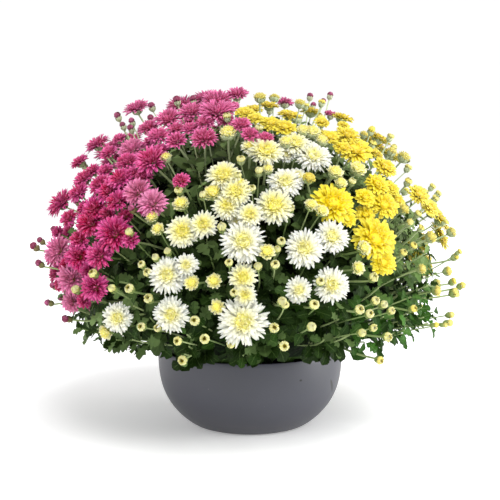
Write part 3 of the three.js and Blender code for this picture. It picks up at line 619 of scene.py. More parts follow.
# Tubes through points, with a radius at each: rings of sides points, closed at both ends
def tubes(paths, radii, sides, tint):
    count, steps = radii.shape
    ahead = unit(np.gradient(paths, axis=1))
    reference = np.where(np.abs(ahead[:, :1, 2:]) < 0.8, up, right)
    x = unit(np.cross(ahead, np.broadcast_to(reference, ahead.shape)))
    y = np.cross(ahead, x)
    angle = ringAngles(sides)[:, None]
    rings = paths[:, :, None] + radii[:, :, None, None] * (
        np.cos(angle) * x[:, :, None] + np.sin(angle) * y[:, :, None])
    points = np.concatenate([rings.reshape(count, -1, 3), paths[:, :1], paths[:, -1:]], 1)
    along = np.concatenate([np.repeat(np.linspace(0, 1, steps), sides), [0, 1]])
    return copies(points, *ringFaces(steps, sides), along, 0, 0, tint)


# A shape turned about the upright axis: rings at levels, closed at both ends on the axis
def turned(radius, level, sides):
    angle = ringAngles(sides)
    rings = np.stack([radius * np.cos(angle), radius * np.sin(angle), level + 0 * angle], -1)
    ends = [[0, 0, level[0, 0]], [0, 0, level[-1, 0]]]
    points = np.concatenate([rings.reshape(-1, 3), ends])
    return copies(points[None], *ringFaces(len(level), sides), 0, 0, 0, np.zeros((1, 3)))


sharpEdge = 50 * degree


# Makes an object of a batch, smooth but for the sharp edges of its blades
def makePiece(name, batch, material, replaced):
    mesh = bpy.data.meshes.new(name)
    quads, triangles = batch["quads"], batch["triangles"]
    loops = np.concatenate([quads.ravel(), triangles.ravel()]).astype(np.int32)
    totals = np.concatenate([np.full(len(quads), 4), np.full(len(triangles), 3)]).astype(np.int32)
    mesh.vertices.add(len(batch["points"]))
    mesh.vertices.foreach_set("co", batch["points"].astype(np.float32).ravel())
    mesh.loops.add(len(loops))
    mesh.loops.foreach_set("vertex_index", loops)
    mesh.polygons.add(len(totals))
    mesh.polygons.foreach_set("loop_start", (np.cumsum(totals) - totals).astype(np.int32))
    mesh.polygons.foreach_set("use_smooth", np.ones(len(totals), bool))
    layer = mesh.uv_layers.new(name="shape")
    layer.data.foreach_set("uv", batch["shape"][loops].astype(np.float32).ravel())
    tint = mesh.attributes.new("tint", "FLOAT_COLOR", "POINT")
    tint.data.foreach_set("color", batch["tint"].astype(np.float32).ravel())
    mesh.update(calc_edges=True)
    mesh.set_sharp_from_angle(angle=sharpEdge)
    mesh.materials.append(material)
    piece = addObject(name, mesh)
    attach(piece, "root")
    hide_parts(*replaced)


# ---- finishes ----


# A colour as the eye sees it, from 0 to 255, as the shader's light values
def shade(red, green, blue):
    values = np.array([red, green, blue]) / 255
    light = np.where(values <= 0.04045, values / 12.92, ((values + 0.055) / 1.055) ** 2.4)
    return (*light.tolist(), 1.0)


# A socket of a material; sums and products of such wires add their Math nodes
class Wire:
    def __init__(self, finish, socket):
        self.finish = finish
        self.socket = socket

    def combine(self, operation, first, second):
        return self.finish.node("ShaderNodeMath", {"operation": operation}, {0: first, 1: second})

    def __add__(self, other):
        return self.combine("ADD", self, other)

    def __sub__(self, other):
        return self.combine("SUBTRACT", self, other)

    def __rsub__(self, other):
        return self.combine("SUBTRACT", other, self)

    def __mul__(self, other):
        return self.combine("MULTIPLY", self, other)

    __radd__ = __add__
    __rmul__ = __mul__


# A procedural finish: a principled shader whose changing sockets are fed by expressions, with
# the look's colours by their names
class Finish:
    def __init__(self, name, look, **sockets):
        self.look = {part: shade(*values) for part, values in look.items()}
        self.material = bpy.data.materials.new(name)
        self.material.use_nodes = True
        self.tree = self.material.node_tree
        self.shader = self.tree.nodes["Principled BSDF"]
        for socket, value in sockets.items():
            self.shader.inputs[socket.replace("_", " ")].default_value = value

    def node(self, kind, settings, inputs, output=0):
        made = self.tree.nodes.new(kind)
        for name, value in settings.items():
            setattr(made, name, value)
        for key, value in inputs.items():
            self.feed(made.inputs[key], value)
        return Wire(self, made.outputs[output])

    def feed(self, socket, value):
        if isinstance(value, Wire):
            self.tree.links.new(value.socket, socket)
        else:
            socket.default_value = value

    def put(self, name, value):
        self.feed(self.shader.inputs[name], value)

    def mix(self, factor, first, second):
        settings = {"data_type": "RGBA", "clamp_factor": True}
        return self.node("ShaderNodeMix", settings, {0: factor, 6: first, 7: second}, 2)

    # Coats laid over a colour one after the other, each with its factor and its colour's name
    def coats(self, first, *rows):
        colour = self.look[first]
        for factor, over in rows:
            colour = self.mix(factor, colour, over if isinstance(over, Wire) else self.look[over])
        return colour

    def ramp(self, value, low, high):
        inputs = {"Value": value, "From Min": low, "From Max": high}
        return self.node("ShaderNodeMapRange", {"clamp": True}, inputs)

    def axes(self):
        place = self.node("ShaderNodeTexCoord", {}, {}, "Object")
        return [self.node("ShaderNodeSeparateXYZ", {}, {0: place}, k) for k in range(3)]

    def noise(self, scale, detail, rough=0.5):
        place = self.node("ShaderNodeTexCoord", {}, {}, "Object")
        inputs = {"Vector": place, "Scale": scale, "Detail": detail, "Roughness": rough}
        return self.node("ShaderNodeTexNoise", {}, inputs)

    def bump(self, height, strength, distance):
        inputs = {"Height": height, "Strength": strength, "Distance": distance}
        self.put("Normal", self.node("ShaderNodeBump", {}, inputs))

    # Place along and across the shape, then tone, layer, age and underside
    def tints(self):
        uv = self.node("ShaderNodeUVMap", {"uv_map": "shape"}, {})
        tint, under = (self.node("ShaderNodeAttribute", {"attribute_name": "tint"}, {}, output)
                       for output in ("Color", "Alpha"))
        places = [self.node("ShaderNodeSeparateXYZ", {}, {0: uv}, k) for k in range(2)]
        return *places, *(self.node("ShaderNodeSeparateColor", {}, {0: tint}, k)
                          for k in range(3)), under

    # Painted sunlight on greens, from 0 to 1: on the right above the skirt, and by share at the top
    def paintedSunlight(self, share, full):
        x, _, height = self.axes()
        side = 0.4 * self.ramp(x, 0.12, 0.2) * self.ramp(height, 0.18, 0.25)
        return side + share * self.ramp(height, 0.28, full)

    def done(self, colour, roughness):
        self.put("Base Color", colour)
        self.put("Roughness", roughness)
        return self.material


# Light passes through petals and softens the shade between them
def petalFinish(name, look, glow, specular=0.22):
    return Finish(name, look, Specular_IOR_Level=specular, Subsurface_Weight=glow,
                  Subsurface_Scale=0.002, Subsurface_Radius=(1.0, 0.9, 0.8))


magentaLook = {
    "deep": (116, 0, 50), "body": (216, 0, 116), "tip": (246, 128, 190),
    "reverse": (218, 96, 162), "old": (234, 160, 196), "heart": (196, 10, 62),
    "crimson": (206, 0, 50), "violet": (220, 80, 170), "bud": (120, 44, 66),
}


# Deep at the base, lighter at tips and edges, paler beneath, in crimson and violet patches;
# painted light lightens blooms near the crown's top and painted shade deepens lower ones; old
# blooms, and by painted light the highest ones, fade to mauve, and buds are the darkest
def magentaFinish():
    finish = petalFinish("magenta_petal", magentaLook, 0.12, 0.06)
    ramp = finish.ramp
    along, across, tone, layer, age, under = finish.tints()
    streak, patch = finish.noise(420, 2), finish.noise(60, 2)
    edges = ramp(along + 0.5 * across + 0.25 * streak, 1.02, 1.5)
    # Painted light on blooms high on the crown: their tips, edges and outer halves are lightened
    paintedTopLight = ramp(finish.axes()[2], 0.27, 0.4)
    pale = (0.6 + 0.4 * paintedTopLight) * edges + paintedTopLight * (0.18 + 0.34 * along)
    colour = finish.coats(
        "deep",
        (ramp(along + 0.25 * streak, 0.35, 0.95), "body"),
        (0.75 * ramp(patch, 0.5, 0.62), "crimson"),
        (0.7 * ramp(1 - patch, 0.5, 0.62), "violet"),
        # Painted shade: blooms lower on the crown are deepened
        (0.3 * (1 - paintedTopLight), "deep"),
        (pale, "tip"),
        (0.7 * layer * (1 - 0.5 * along), "heart"),
        (0.6 * ramp(under, 0.55, 1), "reverse"),
        (age, "old"),
        (0.85 * ramp(age, 1.0, 1.3), "bud"),
        (0.5 * ramp(tone, 0.45, 1), "deep"),
        (0.6 * ramp(1 - tone, 0.7, 1) * along, "tip"),
    )
    return finish.done(colour, 0.48 + 0.14 * streak)


creamLook = {
    "white": (251, 250, 238), "cream": (253, 249, 196), "yellow": (252, 240, 122),
    "heart": (252, 240, 118), "edge": (253, 253, 245), "low": (222, 224, 200),
}


# White outer petals, warmer towards their base and greyed low on the crown by painted shade, and
# inner layers from cream to yellow
def creamFinish():
    finish = petalFinish("cream_petal", creamLook, 0.8)
    ramp = finish.ramp
    along, across, tone, layer, age, _ = finish.tints()
    warm = ramp(layer + 0.7 * age - 0.25 * along + 0.1 * tone, 0.02, 0.6)
    # Painted shade: petals low on the crown are greyed
    paintedLowShade = 1 - ramp(finish.axes()[2], 0.13, 0.25)
    colour = finish.coats(
        "white",
        (warm, "cream"),
        (ramp(layer + 0.55 * age - 0.3 * along, 0.32, 0.9), "yellow"),
        (ramp(layer - 0.45 * along, 0.6, 1.0), "heart"),
        (0.5 * ramp(across + along, 1.3, 2) * (1 - layer), "edge"),
        (0.55 * paintedLowShade * (1 - warm), "low"),
    )
    return finish.done(colour, 0.5 + 0.12 * finish.noise(300, 2))


yellowLook = {
    "body": (241, 220, 28), "tip": (243, 229, 96), "deep": (239, 211, 14),
    "heart": (239, 208, 34), "pale": (229, 221, 136),
}


# Strong yellow, lighter at the tips, golden at the base and in the middle, paled by painted light
# on the right and at the top
def yellowFinish():
    finish = petalFinish("yellow_petal", yellowLook, 0.3)
    ramp = finish.ramp
    along, across, tone, layer, age, _ = finish.tints()
    x, _, height = finish.axes()
    # Painted light: paler on the right and at the top
    paintedLight = 0.36 * ramp(x, 0.13, 0.2) + 0.25 * ramp(height, 0.3, 0.38)
    colour = finish.coats(
        "deep",
        (ramp(along, 0.15, 0.8), "body"),
        (0.8 * ramp(along + 0.3 * across, 0.8, 1.3), "tip"),
        (0.5 * ramp(layer - 0.3 * along, 0.5, 1), "heart"),
        (0.7 * age + paintedLight, "pale"),
        (0.25 * tone, "deep"),
    )
    return finish.done(colour, 0.5 + 0.12 * finish.noise(300, 2))


leafLook = {
    "dark": (8, 21, 0), "mid": (50, 77, 26), "light": (124, 148, 92),
    "vein": (112, 142, 78), "reverse": (78, 106, 52), "young": (44, 98, 2),
    "upper": (112, 134, 74), "sunlit": (152, 178, 112),
}


# Dark lobed leaves with a light midrib and side veins, greyer and paler beneath; painted shade
# makes them darkest deep in the plant, and painted sunlight palest on the right and at the top
def leafFinish():
    finish = Finish("leaf", leafLook, Specular_IOR_Level=0.12)
    ramp = finish.ramp
    along, across, tone, layer, age, under = finish.tints()
    patch = finish.noise(90, 3)
    fresh = finish.coats("young", (ramp(finish.axes()[2], 0.17, 0.25), "upper"))
    ribs = finish.node("ShaderNodeMath", {"operation": "SINE"}, {0: 34 * along - 14 * across})
    veins = 0.22 * ramp(ribs, 0.8, 1) + 0.4 * (1 - ramp(across, 0.02, 0.12))
    colour = finish.coats(
        "dark",
        (ramp(0.6 * tone + 0.6 * patch, 0.2, 0.95), "mid"),
        (0.85 * ramp(tone + 0.3 * patch, 0.65, 1.15), "light"),
        (age, fresh),
        (veins * (1 - 0.4 * along), "vein"),
        (0.65 * ramp(under, 0.6, 1), "reverse"),
        # Painted shade: leaves deep in the plant are darkened by their layer
        (0.48 * layer, "dark"),
        # Painted sunlight on the right and at the top
        (finish.paintedSunlight(0.32, 0.36), "sunlit"),
    )
    finish.bump(0.5 * veins + 0.5 * finish.noise(700, 2), 0.35, 0.0006)
    return finish.done(colour, 0.42 + 0.25 * patch)


stalkLook = {
    "green": (126, 149, 88), "pale": (172, 188, 130), "dark": (62, 86, 40),
    "bract": (132, 150, 84), "bronze": (116, 84, 66), "mouth": (140, 130, 44),
    "sunlit": (214, 222, 188),
}


# Pale grey-green stalks, darker where they leave the leaves, mottled, and silvery with painted
# sunlight on the right and at the top; calyxes are bronze on magenta flowers, and olive brown in
# the mouth that the petals leave open
def stalkFinish():
    finish = Finish("stalk", stalkLook, Specular_IOR_Level=0.3)
    ramp = finish.ramp
    along, across, tone, layer, age, under = finish.tints()
    grain = finish.noise(260, 3)
    colour = finish.coats(
        "dark",
        (ramp(along + 0.3 * grain, 0.1, 0.8), "green"),
        (ramp(tone + 0.4 * grain, 0.4, 1.2), "pale"),
        (layer, "bract"),
        (0.8 * ramp(age + 0.3 * grain, 0.4, 1.1), "bronze"),
        (layer * ramp(along, 0.9, 1), "mouth"),
        # Painted sunlight on the right and at the top
        (finish.paintedSunlight(0.6, 0.37), "sunlit"),
    )
    finish.bump(finish.noise(900, 2), 0.3, 0.0004)
    return finish.done(colour, 0.5 + 0.2 * grain)


innerLook = {"dark": (5, 10, 3), "mid": (18, 32, 12), "light": (36, 58, 24)}


# Deep shade between the inner leaves, mottled as leaves in shadow are
def innerFinish():
    finish = Finish("inner_foliage", innerLook, Specular_IOR_Level=0.1)
    patch = finish.noise(60, 6, 0.7)
    colour = finish.coats(
        "dark",
        (finish.ramp(patch, 0.35, 0.75), "mid"),
        (0.5 * finish.ramp(finish.noise(140, 3), 0.55, 0.7), "light"),
    )
    finish.bump(patch, 0.8, 0.006)
    return finish.done(colour, 0.8 + 0.15 * patch)


bowlLook = {
    "body": (68, 69, 80), "dark": (58, 59, 67), "low": (47, 47, 53),
    "speck": (150, 150, 156), "mark": (14, 14, 18),
}
# Each mark: its azimuth in degrees, its middle's height, half its width and height, and its slant
bowlMarks = [(-27.6, 0.056, 0.0034, 0.01, -0.75), (-58.8, 0.0732, 0.002, 0.0013, 0)]


# Matt plastic, darker low down by painted shade: faint swirls, sparse light specks, a slanting
# scratch on the right and a small nick nearer the front
def bowlFinish():
    finish = Finish("bowl_plastic", bowlLook, Specular_IOR_Level=0.6)
    ramp = finish.ramp
    cloud = finish.noise(14, 4, 0.6)
    x, y, height = finish.axes()
    coats = [
        (cloud, "body"),
        # Painted shade: darker towards the bottom
        (0.6 * (1 - ramp(height, 0.0, 0.05)), "low"),
        (0.45 * ramp(finish.noise(170, 1), 0.78, 0.84), "speck"),
    ]
    for azimuth, middle, halfWidth, halfHeight, slant in bowlMarks:
        cos, sin = np.cos(azimuth * degree), np.sin(azimuth * degree)
        above = height - middle
        sideways = (cos * y - sin * x - slant * above) * (1 / halfWidth)
        far = sideways * sideways + above * above * (1 / halfHeight ** 2)
        near = ramp(cos * x + sin * y, 0.05, 0.06)
        coats.append((near * (1 - ramp(far, 0.6, 1.1)), "mark"))
    finish.bump(finish.noise(1300, 2), 0.12, 0.0003)
    return finish.done(finish.coats("dark", *coats), 0.4 + 0.14 * cloud)


soilLook = {"peat": (22, 14, 9), "crumb": (58, 40, 27), "fibre": (110, 84, 58)}


# Moist dark peat with paler fibres and crumbs
def soilFinish():
    finish = Finish("peat", soilLook, Specular_IOR_Level=0.15)
    crumb = finish.noise(240, 6, 0.7)
    colour = finish.coats(
        "peat",
        (finish.ramp(crumb, 0.3, 0.75), "crumb"),
        (0.5 * finish.ramp(finish.noise(900, 3), 0.62, 0.75), "fibre"),
    )
    finish.bump(crumb, 0.9, 0.004)
    return finish.done(colour, 0.85 + 0.1 * crumb)


petalFinishes = {"magenta": magentaFinish(), "cream": creamFinish(), "yellow": yellowFinish()}
leafMaterial = leafFinish()
stalkMaterial = stalkFinish()
print("finishes made")

# ---- blooms ----

# Rings of petals from the outer to the inner one, in shares of the bloom's radius: how many
# petals, where their tips stand and how high, where their control points lie and how high, half
# the width and how far the edges curl up. Widths are shares of that width at the petal's places
bloomStyles = {
    "magenta": {
        "widths": (0.35, 0.7, 1, 0.96, 0.72, 0.24),
        "point": 0.05,
        "rings": [
            (17, 0.93, 0.04, 0.5, 0.2, 0.09, 0.5), (25, 1.0, 0.2, 0.52, 0.26, 0.078, 0.5),
            (23, 0.96, 0.36, 0.5, 0.3, 0.075, 0.6), (20, 0.85, 0.49, 0.46, 0.34, 0.072, 0.7),
            (16, 0.7, 0.6, 0.42, 0.38, 0.072, 0.8), (12, 0.52, 0.67, 0.36, 0.42, 0.07, 0.9),
            (9, 0.34, 0.68, 0.32, 0.44, 0.066, 1.0), (6, 0.17, 0.62, 0.26, 0.42, 0.06, 1.0),
            (4, 0.06, 0.54, 0.14, 0.36, 0.05, 1.0),
        ],
    },
    "cream": {
        "widths": (0.34, 0.7, 1, 0.98, 0.74, 0.34),
        "point": 0.02,
        "rings": [
            (28, 0.99, 0.04, 0.55, 0.2, 0.076, 0.3), (28, 1.04, 0.16, 0.55, 0.26, 0.076, 0.35),
            (24, 0.93, 0.27, 0.5, 0.31, 0.084, 0.35), (18, 0.79, 0.37, 0.46, 0.35, 0.095, 0.45),
            (16, 0.63, 0.46, 0.44, 0.37, 0.088, 0.6), (12, 0.46, 0.52, 0.42, 0.36, 0.086, 0.8),
            (9, 0.3, 0.53, 0.38, 0.34, 0.1, 1.0), (6, 0.15, 0.5, 0.28, 0.32, 0.1, 1.0),
            (4, 0.04, 0.46, 0.14, 0.3, 0.09, 1.0),
        ],
    },
    "yellow": {
        "widths": (0.32, 0.68, 1, 0.97, 0.76, 0.38),
        "point": 0.0,
        "rings": [
            (23, 0.96, 0.05, 0.55, 0.2, 0.108, 0.2), (23, 1.02, 0.17, 0.55, 0.26, 0.108, 0.25),
            (20, 0.89, 0.28, 0.5, 0.3, 0.108, 0.3), (16, 0.74, 0.37, 0.46, 0.33, 0.11, 0.4),
            (13, 0.58, 0.44, 0.42, 0.35, 0.102, 0.6), (10, 0.42, 0.48, 0.38, 0.34, 0.096, 0.8),
            (8, 0.26, 0.48, 0.34, 0.32, 0.09, 0.9), (5, 0.1, 0.43, 0.22, 0.3, 0.08, 0.9),
        ],
    },
}
# How petals get fewer and plainer: below the full radius by a power, for small extra flowers by
# a share, with fine petals on large pale blooms alone
petalRule = {
    "fullRadius": 0.0205, "most": 1.3, "power": 0.65, "thin": 0.86, "least": 4,
    "largeRadius": 0.0165, "hidden": -0.1, "innerReach": 0.65,
}
openButton = [(0.2, 0.1), (0.33, 0.22), (0.32, 0.3), (0.24, 0.36), (0.12, 0.39)]
halfButton = [(0.2, 0.1), (0.5, 0.4), (0.5, 0.56), (0.38, 0.7), (0.18, 0.78)]
buttonSides = 9
petalThickness = 0.0002
ringTurn = 0.7
# How much the petals of a ring differ in their place, lift, length, width, curl, tip and lean
spread = {
    "place": (-0.3, 0.3), "lift": (-0.06, 0.06), "length": (-0.15, 0.06), "width": (0.9, 1.1),
    "cup": (0.7, 1.2), "point": (-0.02, 0.01), "sway": (-0.1, 0.1), "twist": 0.35,
}


# The settings of one ring of petals round a flower's axis; ring is a row of a style's table
def ringSettings(flower, random, ring, base, number, layer, point, age):
    count, reach, rise, controlReach, controlRise, width, cup = ring
    radius = flower["radius"]
    ones = np.ones(count)

    def vary(name):
        return random.uniform(*spread[name], count)

    x, y, z = (side * ones[:, None] for side in squareAxes(flower["axis"], anySide(flower["axis"])))
    pitch = 2 * np.pi / count
    turns = np.arange(count) + 0.5 * (number % 2) + vary("place")
    lift = vary("lift") * radius
    return {
        "foot": flower["foot"] * ones[:, None],
        "x": x, "y": y, "z": z,
        "turn": flower["turn"] + ringTurn * number + pitch * turns,
        "r0": base[0] * radius * ones, "h0": base[1] * radius * ones,
        "r1": controlReach * radius * ones, "h1": controlRise * radius + lift,
        "r2": reach * radius * (1 + vary("length")), "h2": rise * radius + 1.5 * lift,
        "width": width * radius * vary("width"), "cup": cup * vary("cup"),
        "point": point + vary("point"), "sway": vary("sway") * radius,
        "twist": random.normal(0, spread["twist"], count),
        "tint": np.stack([random.random(count), layer * ones, age * ones], 1),
    }


# A rounded button that closes the middle of a flower under its inner petals
def button(flower, age, profile):
    outs, rises = flower["radius"] * np.array(profile).T
    path = flower["foot"] + rises[:, None] * flower["axis"]
    return tubes(path[None], outs[None], buttonSides, np.array([[0.3, 0.9, age]]))


# An open bloom: rings of petals from the low outer ones to the upright inner ones; small
# blooms have fewer and broader petals
def bloomPetals(flower, random, age):
    style, rule = bloomStyles[flower["colour"]], petalRule
    isThin, isPale = "thin" in flower, flower["colour"] != "magenta"
    fewer = min(rule["most"], flower["radius"] / rule["fullRadius"]) ** rule["power"]
    fewer *= rule["thin"] if isThin else 1
    outer, inner = [], []
    for number, (full, reach, *places, width, cup) in enumerate(style["rings"]):
        count = max(rule["least"], round(full * fewer))
        row = (count, reach, *places, width * full / count, cup)
        base = (0.04 + 0.09 * reach, 0.1 - 0.12 * reach)
        layer = number / (len(style["rings"]) - 1)
        made = ringSettings(flower, random, row, base, number, layer, style["point"], age)
        (outer if reach > rule["innerReach"] else inner).append(made)
    isLarge = flower["radius"] > rule["largeRadius"] and isPale
    pattern = petalPattern if isLarge else plainPetalPattern
    if isThin or isHidden(flower["centre"], rule["hidden"]):
        pattern = smallPetalPattern
    batches = [petals(pattern, style["widths"], joinSettings(outer)),
               petals(smallPetalPattern, style["widths"], joinSettings(inner))]
    return joinBatches(batches + [button(flower, age, openButton)] * isPale)


halfRings = [
    (13, 1.1, 0.35, 0.74, 0.1, 0.19, 0.4), (13, 1.02, 0.6, 0.76, 0.28, 0.19, 0.4),
    (11, 0.82, 0.8, 0.68, 0.46, 0.19, 0.5), (9, 0.58, 0.92, 0.54, 0.6, 0.17, 0.5),
    (6, 0.28, 0.96, 0.34, 0.7, 0.16, 0.5),
]


# A half-open flower: a tuft of petals that still stand up, the inner ones closed over its middle
def halfPetals(flower, random, age):
    parts = []
    for number, ring in enumerate(halfRings):
        base = (0.12 + 0.2 * ring[1], 0.25 - 0.2 * ring[1])
        layer = 0.15 + 0.6 * number / (len(halfRings) - 1)
        parts.append(ringSettings(flower, random, ring, base, number, layer, 0, age))
    widths = bloomStyles[flower["colour"]]["widths"]
    tuft = petals(smallPetalPattern, widths, joinSettings(parts))
    return joinBatches([tuft, button(flower, age, halfButton)])


budRings = {
    "open": [(13, 0.5, 1.2, 1.44, 0.8, 0.28, 0.2), (9, 0.34, 1.08, 1.16, 0.95, 0.28, 0.2)],
    "closed": [(12, 0.12, 1.55, 1.38, 1.05, 0.34, 0.2), (7, 0.05, 1.35, 1.0, 1.1, 0.34, 0.2)],
}


# A bud: two rings of short petals that close in round a dark mouth, or almost over it
def budPetals(flower, random, age):
    closed = flower["colour"] == "magenta" or random.random() < ageRule["closedShare"]
    parts = [ringSettings(flower, random, ring, (0.6, 0), number, 0.5 + 0.35 * number, 0, age)
             for number, ring in enumerate(budRings["closed" if closed else "open"])]
    return petals(smallPetalPattern, bloomStyles["cream"]["widths"], joinSettings(parts))


# Ages of open blooms near a listed spot, of the others and of younger flowers, and how much
# painted light ages magenta blooms towards mauve from a height on; the share of pale buds that are
# still closed
ageRule = {
    "near": 12 * mm, "listed": (0.5, 0.75), "usual": (0, 0.05), "young": (0, 0.5),
    "paintedLight": 0.33, "from": 0.33, "over": 0.06, "closedShare": 0.35,
}
# Older magenta blooms, faded to mauve, and younger cream ones that are still yellowish: column
# and row in the view's grid
agedSpots = {
    "magenta": [(131, 148), (57, 250), (137, 191), (154, 204), (69, 282), (70, 305)],
    "cream": [(223, 174), (236, 191), (227, 205), (250, 214), (203, 224), (266, 150), (295, 142),
              (182, 231), (245, 295), (243, 277), (250, 146), (275, 205)],
    "yellow": [],
}


# How far a flower is from its colour's usual age, from 0 to 1, with painted light added to high
# magenta blooms
def ageOf(flower, random):
    rule, colour, centre = ageRule, flower["colour"], flower["centre"]
    if flower["kind"] != "open":
        return random.uniform(*rule["young"])
    gaps = [np.linalg.norm(crownSpot(*spot)[0] - centre) for spot in agedSpots[colour]]
    if min(gaps, default=np.inf) < rule["near"]:
        return random.uniform(*rule["listed"])
    # Painted light: magenta blooms high on the crown are aged towards pale mauve
    paintedTopLight = np.clip((centre[2] - rule["from"]) / rule["over"], 0, 1) if colour == "magenta" else 0
    return random.uniform(*rule["usual"]) + rule["paintedLight"] * paintedTopLight


def flowerPetals(flower, random):
    age = ageOf(flower, random)
    if flower["kind"] == "open":
        return bloomPetals(flower, random, age)
    if flower["kind"] == "half":
        return halfPetals(flower, random, 0.75 + 0.5 * age)
    ages = {"magenta": 1.3, "cream": 0.7 + 0.4 * age, "yellow": 0.2 + 2.2 * age}
    return budPetals(flower, random, ages[flower["colour"]])


# ---- calyxes, stalks and leaves ----

# Kinds of flower have their own cup: its radius and depth in shares of the flower's, the most it
# may measure, and how far its bracts reach; the profile gives places up the axis and radii
calyxStyle = {
    "open": {"cup": 0.42, "depth": 0.12, "most": 6.5 * mm, "reach": 1.06},
    "other": {"cup": 0.8, "depth": 0.32, "most": 1, "reach": 1.12},
    "profile": np.array([(0, 0.22), (0.15, 0.58), (0.45, 1.0), (0.8, 0.98), (1.0, 0.6)]).T,
    "sides": 7, "bracts": 6, "bractsFrom": 0.0042, "bractFoot": 0.15, "bractHeight": 0.85,
    "bractShape": (1.18, 0.5, 0.42, 0.2), "bractBase": (0.75, 0), "bractPoint": 0.08,
    "bronze": {"magenta": 0.9, "cream": 0.1, "yellow": 0.2},
}


# Green cup under a flower: radii along the axis from the neck up, and a ring of bracts
def calyx(flower, random):
    style = calyxStyle["open" if flower["kind"] == "open" else "other"]
    axis, neck = flower["axis"], flower["neck"]
    cup = min(style["cup"] * flower["radius"], style["most"])
    depth = head["calyxHeight"] + style["depth"] * flower["radius"]
    share, profile = calyxStyle["profile"]
    path = neck + (share * depth)[:, None] * axis
    bronze = calyxStyle["bronze"][flower["colour"]] * random.uniform(0.7, 1)
    tint = np.array([[random.random(), 1.0, bronze]])
    cupBatch = tubes(path[None], (profile * cup)[None], calyxStyle["sides"], tint)
    if flower["radius"] < calyxStyle["bractsFrom"]:
        return cupBatch
    base = {**flower, "foot": neck + calyxStyle["bractFoot"] * depth * axis, "radius": cup}
    height = calyxStyle["bractHeight"] * depth / cup
    out, rise, width, curl = calyxStyle["bractShape"]
    ring = (calyxStyle["bracts"], style["reach"], height, out, rise * height, width, curl)
    bracts = ringSettings(base, random, ring, calyxStyle["bractBase"], 0, 1.0,
                          calyxStyle["bractPoint"], bronze)
    widths = bloomStyles["magenta"]["widths"]
    return joinBatches([cupBatch, petals(smallPetalPattern, widths, bracts)])


stalkStyle = {"steps": 6, "sides": 6, "root": 1.5 * mm, "neck": 1.05 * mm, "bow": 0.026}


# Stalks from root to neck: a straight line, a sideways bow of B sin(pi t), and a swing of
# -0.22 L t (1 - t) (0.4 + t) that turns the top into the flower's axis
def stalkBatch(stalks, random):
    roots, necks, axes = (np.array([s[name] for s in stalks]) for name in ("root", "neck", "axis"))
    bows = random.normal(0, stalkStyle["bow"], roots.shape)[:, None]
    steps = np.linspace(0, 1, stalkStyle["steps"])
    t = steps[None, :, None]
    lengths = np.linalg.norm(necks - roots, axis=1)[:, None, None]
    straight = roots[:, None] * (1 - t) + necks[:, None] * t
    swing = (axes - unit(necks - roots))[:, None] * lengths * -0.22 * t * (1 - t) * (0.4 + t)
    paths = straight + swing + bows * np.sin(np.pi * t) * lengths
    thin = np.array([stalk.get("thin", 1) for stalk in stalks])[:, None]
    radii = between((stalkStyle["root"], stalkStyle["neck"]), steps)[None] * thin
    tint = np.zeros((len(stalks), 3))
    tint[:, 0] = random.random(len(stalks))
    return paths, tubes(paths, radii, stalkStyle["sides"], tint)


# The pattern of a leaf with half its outline: place along it, and share of its half width
def leafPattern(outline):
    places, widths = np.array(outline).T
    pattern = bladePattern(places)
    return {**pattern, "half": np.interp(pattern["u"], places, widths)}


lobedLeaf = leafPattern([
    (0, 0), (0.15, 0.08), (0.27, 0.54), (0.36, 0.68), (0.43, 0.36), (0.5, 0.88), (0.61, 1.0),
    (0.68, 0.54), (0.78, 0.76), (0.91, 0.56), (1, 0.14),
])
plainLeaf = leafPattern([
    (0, 0), (0.2, 0.1), (0.33, 0.68), (0.45, 0.42), (0.6, 1.0), (0.7, 0.56), (0.84, 0.7), (1, 0.14),
])
smallLeaf = leafPattern([(0, 0), (0.12, 0.14), (0.4, 0.95), (0.62, 0.8), (0.85, 0.42), (1, 0.05)])
leafStyle = {"halfWidth": 0.34, "fold": 0.3, "thick": 0.0003, "wave": 0.045, "lowest": 0.106}


# Leaves: the midrib is an arc, root + L (along sin(a u) / a - normal (1 - cos(a u)) / a), both
# halves fold up from it a little and ripple, and none hangs lower than the lowest level
def leaves(pattern, roots, along, normal, length, arch, tint):
    along = unit(along)
    need = (leafStyle["lowest"] - roots[:, 2]) / length
    along = unit(along + np.maximum(0, need + 0.3 * arch - along[:, 2])[:, None] * up)
    normal = unit(normal - np.sum(normal * along, -1, keepdims=True) * along)
    across = np.cross(normal, along)[:, None, :]
    along, normal = along[:, None], normal[:, None]
    u, half, reach = pattern["u"], pattern["half"], length[:, None]
    a = np.maximum(np.abs(arch), 1e-3)[:, None] * np.where(arch < 0, -1, 1)[:, None]
    cos, sin = np.cos(a * u), np.sin(a * u)
    line = roots[:, None] + (reach * sin / a)[..., None] * along
    line = line - (reach * (1 - cos) / a)[..., None] * normal
    face = cos[..., None] * normal + sin[..., None] * along
    width = leafStyle["halfWidth"] * reach * half
    ripple = leafStyle["wave"] * reach * np.sin(17 * u + 9 * tint[:, :1]) * half
    lift = leafStyle["fold"] * width + ripple
    return blades(pattern, line, across, face, width, lift, leafStyle["thick"], tint)


# How leaves grow along a stalk: the turn from one to the next, and how much they differ in
# place, forward lean, size and arch; the spread of their youth
growth = {
    "turn": 2.4, "place": (-0.04, 0.04), "forward": (0.35, 1.0), "size": (0.7, 1.25),
    "arch": (-0.2, 1.1), "young": 0.12,
}


